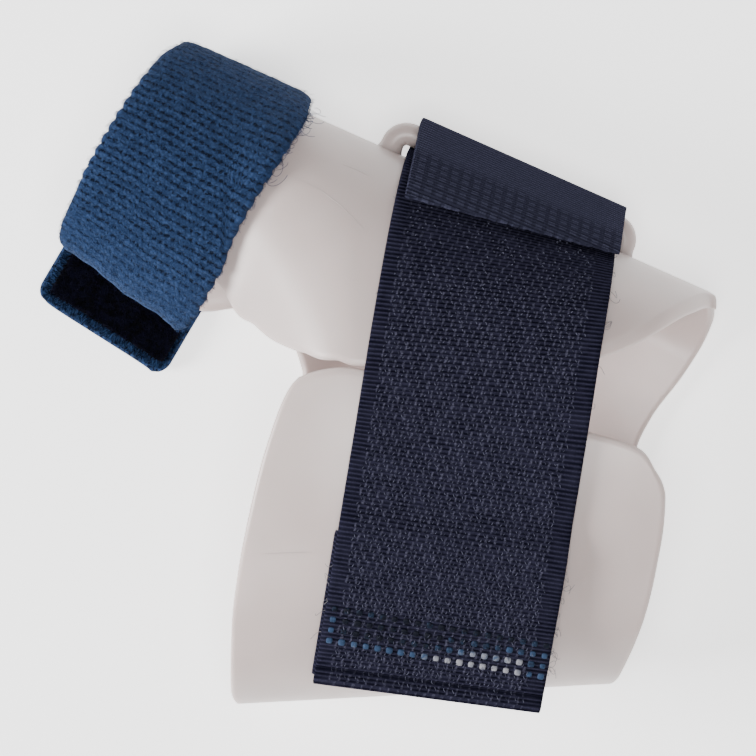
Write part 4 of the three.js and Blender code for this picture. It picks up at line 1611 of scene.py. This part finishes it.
    def add_fields(self, tape: bpy.types.Object, ribbon: Ribbon, end: float) -> None:
        """Store where the tape is creased near its fold, as painted shade for its material, and where few
        hooks show.

        Args:
            tape: The tape's body.
            ribbon: Its mid-surface.
            end: Place of the hem's fold.
        """
        along = ribbon.run[..., 1]
        from_end = end - along
        # Painted shade in the two creases near the fold
        crease_shade = np.maximum(bell(from_end, self.crease, 0.4), 0.7 * bell(from_end, self.thin_crease, 0.28))
        near_flap = 0.8 * (1 - smooth(along, self.dull_from, self.dull_to))
        bare = np.maximum(smooth(along, end - 0.2, end + 0.6), near_flap)
        rest = len(tape.data.vertices) - 2 * along.size
        for name, values, at_rim in (("crease", crease_shade, 0.0), ("bare", bare, 1.0)):
            both_sides = np.tile(values.ravel(), 2)
            add_field(tape, name, np.concatenate([both_sides, np.full(rest, at_rim)]))

    def build(self) -> list[bpy.types.Object]:
        """Make the pieces."""
        ribbon = self.ribbon()
        first_main = self.flap_rows + self.turn_rows
        end = float(ribbon.run[self.lines // 2, first_main + self.main_rows, 1])
        full = smooth(np.arange(ribbon.points.shape[1]), 0, 3)
        thinned = mix(self.flap_end_share, 1.0, full)
        half = np.broadcast_to(TAPE_THICKNESS / 2 * thinned, ribbon.points.shape[:2]).ravel()
        points, run = ribbon.points.reshape(-1, 3), ribbon.run.reshape(-1, 2)
        form = wall(points, ribbon.quads(), half, half, self.rim, run)
        tape = make_object("tape_body", form, self.palette.get(Finish.TAPE))
        self.add_fields(tape, ribbon, end)
        settle(tape, "hook_tape", "hand_strap")
        hooks = make_object("tape_hooks", self.hook_form(ribbon, end), self.palette.get(Finish.HOOK))
        welds = self.weld_piece(ribbon, end)
        yarn = self.palette.get(Finish.LOOSE)
        loose = make_object("tape_loose_filaments", self.loose_form(ribbon, end), yarn)
        return [tape] + [settle(piece, "hook_tape") for piece in (hooks, welds, loose)]


# Thumb strap


def quarter_round(share: Number) -> Number:
    """Return the height of a quarter round, 0 at share 0 and 1 at share 1."""
    return np.sqrt(1 - (1 - share) ** 2)


@dataclass
class ThumbStrapBuilder:
    """The knitted band, its tab with an overlocked border and hook patch, and its fuzz."""

    palette: Palette
    random: np.random.Generator
    lines: int = 74
    front_rows: int = 150
    back_rows: int = 120
    tab_rows: int = 30
    height: float = HALF_WALL + GAP + BAND_THICKNESS / 2
    rim: float = 0.55
    rib: float = 2.2
    rib_depth: float = 0.13
    scallop: float = 0.42
    bulge: float = 1.5
    front_inset: float = 1.4
    front_corner: float = 1.6
    tab_corner: float = 2.2
    crest_waist: float = 1.5
    rim_brushed: float = 0.6
    side_stitches: int = 70
    end_stitches: int = 170
    stitch_radius: float = 0.095
    border_corner: float = 1.9
    patch_columns: int = 40
    patch_rows: int = 22
    patch_rim: float = 0.25
    pile_count: int = 3600
    pile_radius: float = 0.06
    fuzz_count: int = 5200
    fuzz_radius: float = 0.032
    stray_count: int = 34
    stray_radius: float = 0.035

    def plan(self, across: np.ndarray, p: np.ndarray) -> np.ndarray:
        """Find plan places, by share across, -0.5 to 0.5, and distance square to the crest."""
        width = BAND_WIDTH / math.cos(math.atan(BAND_SHEAR))
        return crest_frame(along_crest(BAND_START) + across * width - BAND_SHEAR * p, p + HALF_WALL, 0.0)

    def front(self, across: np.ndarray, p: np.ndarray) -> np.ndarray:
        """Find points of the front run."""
        plan = self.plan(across, p)
        return over_shell(upper_section, plan[..., 0], plan[..., 1], self.height, BAND_LIFT)

    def back(self, across: np.ndarray, p: np.ndarray) -> np.ndarray:
        """Find points of the back run."""
        plan = self.plan(across, p)
        return under_shell(plan[..., 0], plan[..., 1], self.height)

    def widen(
        self, across: np.ndarray, front_p: np.ndarray, length: np.ndarray, on_knit: np.ndarray
    ) -> np.ndarray:
        """Shape the band's edges: scalloped by the ribs, rounded at the corners and bulged in front.

        Args:
            across: Share across of each line.
            front_p: Distance square to the crest over the middle of the front run.
            length: Level run of each row from the front end.
            on_knit: For each row, 1 on the knit and 0 on the tab.

        Returns:
            The share across of each point.
        """
        from_crest = BAND_FRONT - self.front_inset - length
        scallop = self.scallop * np.abs(np.sin(math.pi * length / self.rib)) * on_knit
        left_part = smooth(from_crest, 3.0, 8.0) * (1 - smooth(from_crest, 24.0, 28.0)) * 0.85 + 0.15
        right_part = smooth(from_crest, 4.0, 9.0) * 0.9 + 0.1
        corner = self.front_corner * (1 - quarter_round(np.minimum(length, 4.0) / 4.0))
        from_end = np.minimum((length[-1] - length) / 2.2, 1)
        corner = corner + self.tab_corner * (1 - quarter_round(from_end))
        corner = corner + self.crest_waist * bell(length, length[self.front_rows], 1.8)
        bulge = np.zeros(len(length))
        front_share = np.clip(front_p / BAND_FRONT, 0, 1)
        bulge[: self.front_rows + 1] = self.bulge * np.sin(math.pi * front_share) ** 0.7
        edge = np.abs(across * 2) ** 6
        shift_right = (scallop * right_part - corner * 0.8) * edge
        shift_left = (scallop * left_part - corner * 0.8) * edge
        shift = np.where(across > 0, shift_right, 0) - np.where(across < 0, shift_left, 0)
        return across + (shift - bulge * (0.5 - across) ** 1.5) / BAND_WIDTH

    def ribbon(self) -> tuple[Ribbon, np.ndarray, np.ndarray]:
        """Build the mid-surface, each point's thickness share and how brushed it is."""
        across = np.linspace(-0.5, 0.5, self.lines + 1)[:, None]
        front_reach = BAND_FRONT - self.front_inset + across * BAND_FRONT_SKEW
        back_end = BAND_BACK + across * BAND_BACK_SKEW - TAB_LENGTH
        front_share = np.linspace(1, 0, self.front_rows + 1)[None] ** 1.35
        wavy = 0.22 * np.sin(across * 11 + 1.0) + 0.07 * np.sin(across * 37)
        front_p = (front_reach + wavy) * front_share
        back_share = np.linspace(0, 1, self.back_rows + 1)[None, 1:] ** 1.3
        tab_share = np.linspace(0, 1, self.tab_rows + 1)[None, 1:]
        back_p = np.concatenate([back_end * back_share, back_end + TAB_LENGTH * tab_share], axis=1)
        middle_p = np.concatenate([front_p, -back_p], axis=1)[self.lines // 2]
        length = np.cumsum(np.concatenate([[0], np.abs(np.diff(middle_p))]))
        tab_row = self.front_rows + self.back_rows
        on_knit = 1 - smooth(np.arange(len(length)), tab_row - 2, tab_row + 3)
        widened = self.widen(across, front_p[self.lines // 2], length, on_knit)
        front = self.front(widened[:, : self.front_rows + 1], front_p)
        back = self.back(widened[:, self.front_rows + 1 :], back_p)
        points = np.concatenate([front, back], axis=1)
        steps = np.linalg.norm(np.diff(points[self.lines // 2], axis=0), axis=1)
        travelled = np.concatenate([[0], np.cumsum(steps)])
        travelled = np.broadcast_to(travelled - travelled[self.front_rows], widened.shape)
        run = np.stack([widened * BAND_WIDTH, travelled], axis=-1)
        ends = mix(0.55, 1.0, quarter_round(np.minimum(length / 2.5, 1)))
        thickness = mix(TAB_THICKNESS / BAND_THICKNESS, 1.0, on_knit) * ends
        from_crest = np.abs(BAND_FRONT - self.front_inset - length)
        brushed = (1 - smooth(length, 2.0, 13.0)) * 0.9 + 0.6 * (1 - smooth(from_crest, 3.0, 9.0))
        thickness, brushed = (np.broadcast_to(values, widened.shape) for values in (thickness, brushed))
        return Ribbon(points, run, facing=-1.0), thickness, brushed

    def band_piece(self, ribbon: Ribbon, thickness: np.ndarray, brushed: np.ndarray) -> bpy.types.Object:
        """Make the knitted band with raised ribs and soft edges.

        Args:
            ribbon: The band's mid-surface.
            thickness: Share of the full thickness at each point.
            brushed: How brushed each point is.

        Returns:
            The piece.
        """
        across = np.linspace(-1, 1, self.lines + 1)[:, None]
        along = ribbon.run[..., 1]
        ribs = np.abs(np.sin(math.pi * along / self.rib)) - 0.6
        relief = self.rib_depth * ribs * (1 - 0.75 * brushed)
        lumps = 0.05 * np.sin(along * 1.9 + across * 9) * np.sin(across * 23 + along * 0.7)
        rolled = 1 - 0.35 * np.abs(across) ** 8
        inner = BAND_THICKNESS / 2 * thickness * rolled
        outer = inner + (relief + lumps) * (thickness > 0.8)
        points, run = ribbon.points.reshape(-1, 3), ribbon.run.reshape(-1, 2)
        form = wall(points, ribbon.quads(), inner.ravel(), outer.ravel(), self.rim, run)
        band = make_object("knit_band", form, self.palette.get(Finish.KNIT))
        at_rim = np.full(len(form.points) - 2 * brushed.size, self.rim_brushed)
        add_field(band, "brushed", np.concatenate([np.tile(brushed.ravel(), 2), at_rim]))
        return band

    def tab_point(self, across: np.ndarray, share: np.ndarray, height: Number) -> np.ndarray:
        """Find points over the tab's inner face.

        Args:
            across: Share across, -0.5 to 0.5.
            share: Share along, 0 at the knit and 1 at the tab's end.
            height: Height over the face.

        Returns:
            The points.
        """
        end = BAND_BACK + across * BAND_BACK_SKEW
        point = self.back(across, end - TAB_LENGTH * (1 - share))
        point[..., 2] += TAB_THICKNESS / 2 + np.asarray(height)
        return point

    def border_form(self) -> Form:
        """Build the overlock stitches round the tab's two sides and its end."""
        sides, ends = self.side_stitches, self.end_stitches
        u = np.concatenate([np.full(sides, -0.5), np.linspace(-0.49, 0.49, ends), np.full(sides, 0.5)])
        w = np.concatenate([np.linspace(-0.1, 0.95, sides), np.ones(ends), np.linspace(0.95, 0.1, sides)])
        inward_u = np.repeat([1.0, 0.0, -1.0], [sides, ends, sides])
        inward_w = np.repeat([0.0, -1.0, 0.0], [sides, ends, sides])
        depth = np.where(inward_u < 0, 1.0, 2.0) * self.random.uniform(0.3, 1.25, len(u))
        t = np.linspace(0, 1, 9)[None]
        reach = -0.35 + (depth[:, None] + 0.35) * t
        wobble = self.random.uniform(-1.5, 1.5, len(u))[:, None] * t
        crown = self.random.uniform(0.35, 0.75, len(u))[:, None]
        rise = crown * np.sin(math.pi * np.clip(t * 0.95 + 0.08, 0, 1)) - 0.5 * (1 - t) ** 4
        across = u[:, None] + (inward_u[:, None] * reach + np.abs(inward_w)[:, None] * wobble) / BAND_WIDTH
        along = w[:, None] + (inward_w[:, None] * reach + np.abs(inward_u)[:, None] * wobble) / TAB_LENGTH
        radius = self.border_corner
        from_side = (0.5 - np.abs(across)) * BAND_WIDTH
        from_end = (1 - along) * TAB_LENGTH
        off = np.hypot(np.minimum(from_side - radius, 0), np.minimum(from_end - radius, 0))
        pull = np.where(off > radius, radius / np.maximum(off, radius), 1.0)
        from_side = np.where(from_side < radius, radius + (from_side - radius) * pull, from_side)
        from_end = np.where(from_end < radius, radius + (from_end - radius) * pull, from_end)
        across = np.sign(across) * (0.5 - from_side / BAND_WIDTH)
        along = 1 - from_end / TAB_LENGTH
        return tubes(self.tab_point(across, along, rise), self.stitch_radius, 6)

    def patch_grid(self, columns: int, rows: int) -> tuple[np.ndarray, np.ndarray]:
        """Find shares across and along the tab over the hook patch, whose edge wanders a little."""
        u = np.linspace(-0.5 + 1.7 / BAND_WIDTH, 0.5 - 0.9 / BAND_WIDTH, columns)[:, None]
        w = np.linspace(0.04, 1 - 1.7 / TAB_LENGTH, rows)[None]
        edge = 0.02 * np.sin(u * 50) * (w - 0.5)
        return np.broadcast_arrays(u, w + edge)

    def patch_form(self) -> Form:
        """Build the patch's ground."""
        u, w = self.patch_grid(self.patch_columns, self.patch_rows)
        half = PATCH_THICKNESS / 2
        points = self.tab_point(u, w, GAP + half)
        return wall(points.reshape(-1, 3), grid_quads(*u.shape), half, half, self.patch_rim)

    def pile_form(self) -> Form:
        """Build the patch's short curled hooks."""
        count = self.pile_count
        u, w = self.patch_grid(2, 2)
        a = self.random.uniform(u.min() - 0.006, u.max() + 0.006, count)
        b = self.random.uniform(w.min(), w.max() + 0.025, count)
        base = self.tab_point(a, b, GAP + PATCH_THICKNESS - 0.1)
        turn = self.random.uniform(0, TURN, count)[:, None]
        t = np.linspace(0, 2.4, 5)[None]
        size = self.random.uniform(0.18, 0.36, count)[:, None]
        bow = size * (1 - np.cos(t))
        axes = np.broadcast_to(np.eye(3), (count, 3, 3))
        paths = trace(base, axes, bow * np.cos(turn), bow * np.sin(turn), size * (np.sin(t) + 0.3 * t))
        return tubes(paths, self.pile_radius, 4)

    def fuzz_form(self, ribbon: Ribbon, thickness: np.ndarray) -> Form:
        """Build short fibres over the knit's outer face and along its edges.

        Args:
            ribbon: The band's mid-surface.
            thickness: Share of the full thickness at each point.

        Returns:
            The fibres.
        """
        count = self.fuzz_count
        rows = self.front_rows + self.back_rows
        share = self.random.random(count)
        edge = self.random.random(count) < 0.3
        share = np.where(edge, np.round(share), share)
        row = self.random.random(count) ** 1.15 * (rows - 3)
        half = BAND_THICKNESS / 2 * thickness[0, row.astype(int)]
        height = half * np.where(edge, self.random.uniform(-0.6, 0.7, count), 1.0) - 0.05
        origin, axes = ribbon.sample(share, row, height)
        edge = edge[:, None]
        away = np.where(share > 0.5, 1.0, -1.0)[:, None] * edge
        t = np.linspace(0, 1, 5)[None]
        size = self.random.uniform(0.35, 1.0, count)[:, None]
        turn = self.random.uniform(0, TURN, count)[:, None]
        lift = np.where(edge, 0.15, 0.4) * size * np.sin(2.4 * t)
        spread = size * t * (0.6 + 0.4 * np.sin(3 * t + turn))
        outward = away * ((0.3 + 0.35 * size) * np.sqrt(t) + 0.25)
        side = spread * np.cos(turn) * np.where(edge, 0.3, 1.0) + outward
        return tubes(trace(origin, axes, side, spread * np.sin(turn), lift), self.fuzz_radius, 3)

    def stray_form(self, ribbon: Ribbon) -> Form:
        """Build the long curled strays at the band's wrist edge, near the crest.

        Args:
            ribbon: The band's mid-surface.

        Returns:
            The strays.
        """
        count = self.stray_count
        row = self.random.uniform(self.front_rows * 0.55, self.front_rows * 0.9, count)
        origin, axes = ribbon.sample(np.ones(count), row, 0.4)
        t = np.linspace(0, 1, 28)[None]
        size = self.random.uniform(0.8, 3.6, count)[:, None]
        turns = self.random.uniform(3.0, 9.0, count)[:, None]
        phase = self.random.uniform(0, 6.28, count)[:, None]
        out = 0.3 + size * t * (0.55 + 0.45 * np.cos(turns * t + phase))
        on = size * 0.7 * t * np.sin(turns * t + phase)
        up = 0.35 * size * np.sin(2.6 * t)
        return tubes(trace(origin, axes, out, on, up), self.stray_radius, 4)

    def build(self) -> list[bpy.types.Object]:
        """Make the pieces."""
        ribbon, thickness, brushed = self.ribbon()
        band = settle(self.band_piece(ribbon, thickness, brushed), "knit", "thumb_strap")
        overlock = self.palette.get(Finish.OVERLOCK)
        yarn = self.palette.get(Finish.YARN)
        border = settle(make_object("tab_overlock", self.border_form(), overlock), "knit")
        fuzz = settle(make_object("knit_fuzz", self.fuzz_form(ribbon, thickness), yarn), "knit")
        strays = settle(make_object("knit_strays", self.stray_form(ribbon), yarn), "knit")
        pile = self.palette.get(Finish.PATCH)
        patch = make_object("hook_patch_ground", self.patch_form(), pile)
        settle(patch, "hook_patch", "thumb_hook_patch")
        hooks = settle(make_object("hook_patch_pile", self.pile_form(), pile), "hook_patch")
        return [band, border, fuzz, strays, patch, hooks]


# Camera, light and floor


@dataclass(frozen=True)
class Lamp:
    """Soft square studio light. Its place and size are in metres and its power in watts."""

    name: str
    place: tuple[float, float, float]
    size: float
    power: float

    def build(self, target: tuple[float, float, float]) -> None:
        """Make the light and aim it."""
        light = bpy.data.lights.new(self.name, "AREA")
        light.size = self.size
        light.energy = self.power
        holder = bpy.data.objects.new(self.name, light)
        holder.location = self.place
        way = Vector(target) - Vector(self.place)
        holder.rotation_euler = way.to_track_quat("-Z", "Y").to_euler()
        bpy.context.scene.collection.objects.link(holder)


class Studio:
    """Camera straight over the splint, pale floor and soft light."""

    lamps = (
        Lamp("key", (-0.68, -0.06, 0.34), 0.3, 10.2),
        Lamp("top", (-0.02, -0.12, 1.0), 0.4, 8.7),
        Lamp("fill", (0.5, -0.25, 0.35), 0.6, 0.6),
    )
    aim = (-0.013, 0.01, 0.02)
    floor_half = 3.0
    floor_glow = 1.3
    world_light = 0.25

    def camera(self) -> None:
        """Make the camera with the picture's frame."""
        data = bpy.data.cameras.new("camera")
        data.sensor_width = 36.0
        across = PICTURE_PIXELS * PIXEL_MM
        data.lens = data.sensor_width * (CAMERA_LEVEL - SCALE_LEVEL) / across
        data.clip_start = 0.05
        data.clip_end = 20.0
        camera = bpy.data.objects.new("camera", data)
        camera.location = (CAMERA_PLACE[0] * MM, CAMERA_PLACE[1] * MM, CAMERA_LEVEL * MM)
        bpy.context.scene.collection.objects.link(camera)
        bpy.context.scene.camera = camera

    def floor(self) -> None:
        """Make a plain pale floor under the splint."""
        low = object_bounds()[0]
        n = Nodes("pale_floor")
        tone = n.colour(n.noise(n.place(), 6.0, 2.0), (0.94, 0.94, 0.94), (0.96, 0.96, 0.96))
        glow = (1.0, 1.0, 1.0, 1.0)
        material = n.finish(
            Base_Color=tone, Roughness=0.85, Emission_Color=glow, Emission_Strength=self.floor_glow
        )
        mesh = bpy.data.meshes.new("floor")
        signs = ((-1, -1), (1, -1), (1, 1), (-1, 1))
        corners = [(self.floor_half * x, self.floor_half * y, low[2]) for x, y in signs]
        mesh.from_pydata(corners, [], [(0, 1, 2, 3)])
        mesh.materials.append(material)
        floor = bpy.data.objects.new("floor", mesh)
        bpy.context.scene.collection.objects.link(floor)
        floor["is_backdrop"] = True

    def world(self) -> None:
        """Light the surroundings evenly."""
        world = bpy.data.worlds.new("studio")
        world.use_nodes = True
        background = world.node_tree.nodes["Background"]
        background.inputs["Color"].default_value = (1.0, 1.0, 1.0, 1.0)
        background.inputs["Strength"].default_value = self.world_light
        bpy.context.scene.world = world

    def build(self) -> None:
        """Make everything round the splint."""
        self.camera()
        self.floor()
        self.world()
        for lamp in self.lamps:
            lamp.build(self.aim)


def main() -> None:
    """Build the scene."""
    logging.basicConfig(level=logging.INFO)
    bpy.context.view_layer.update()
    Studio().build()
    palette = Palette()
    random = np.random.default_rng(SEED)
    ShellBuilder(palette).build()
    HandStrapBuilder(palette, random).build()
    ThumbStrapBuilder(palette, random).build()
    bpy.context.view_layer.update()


if __name__ == "__main__":
    main()
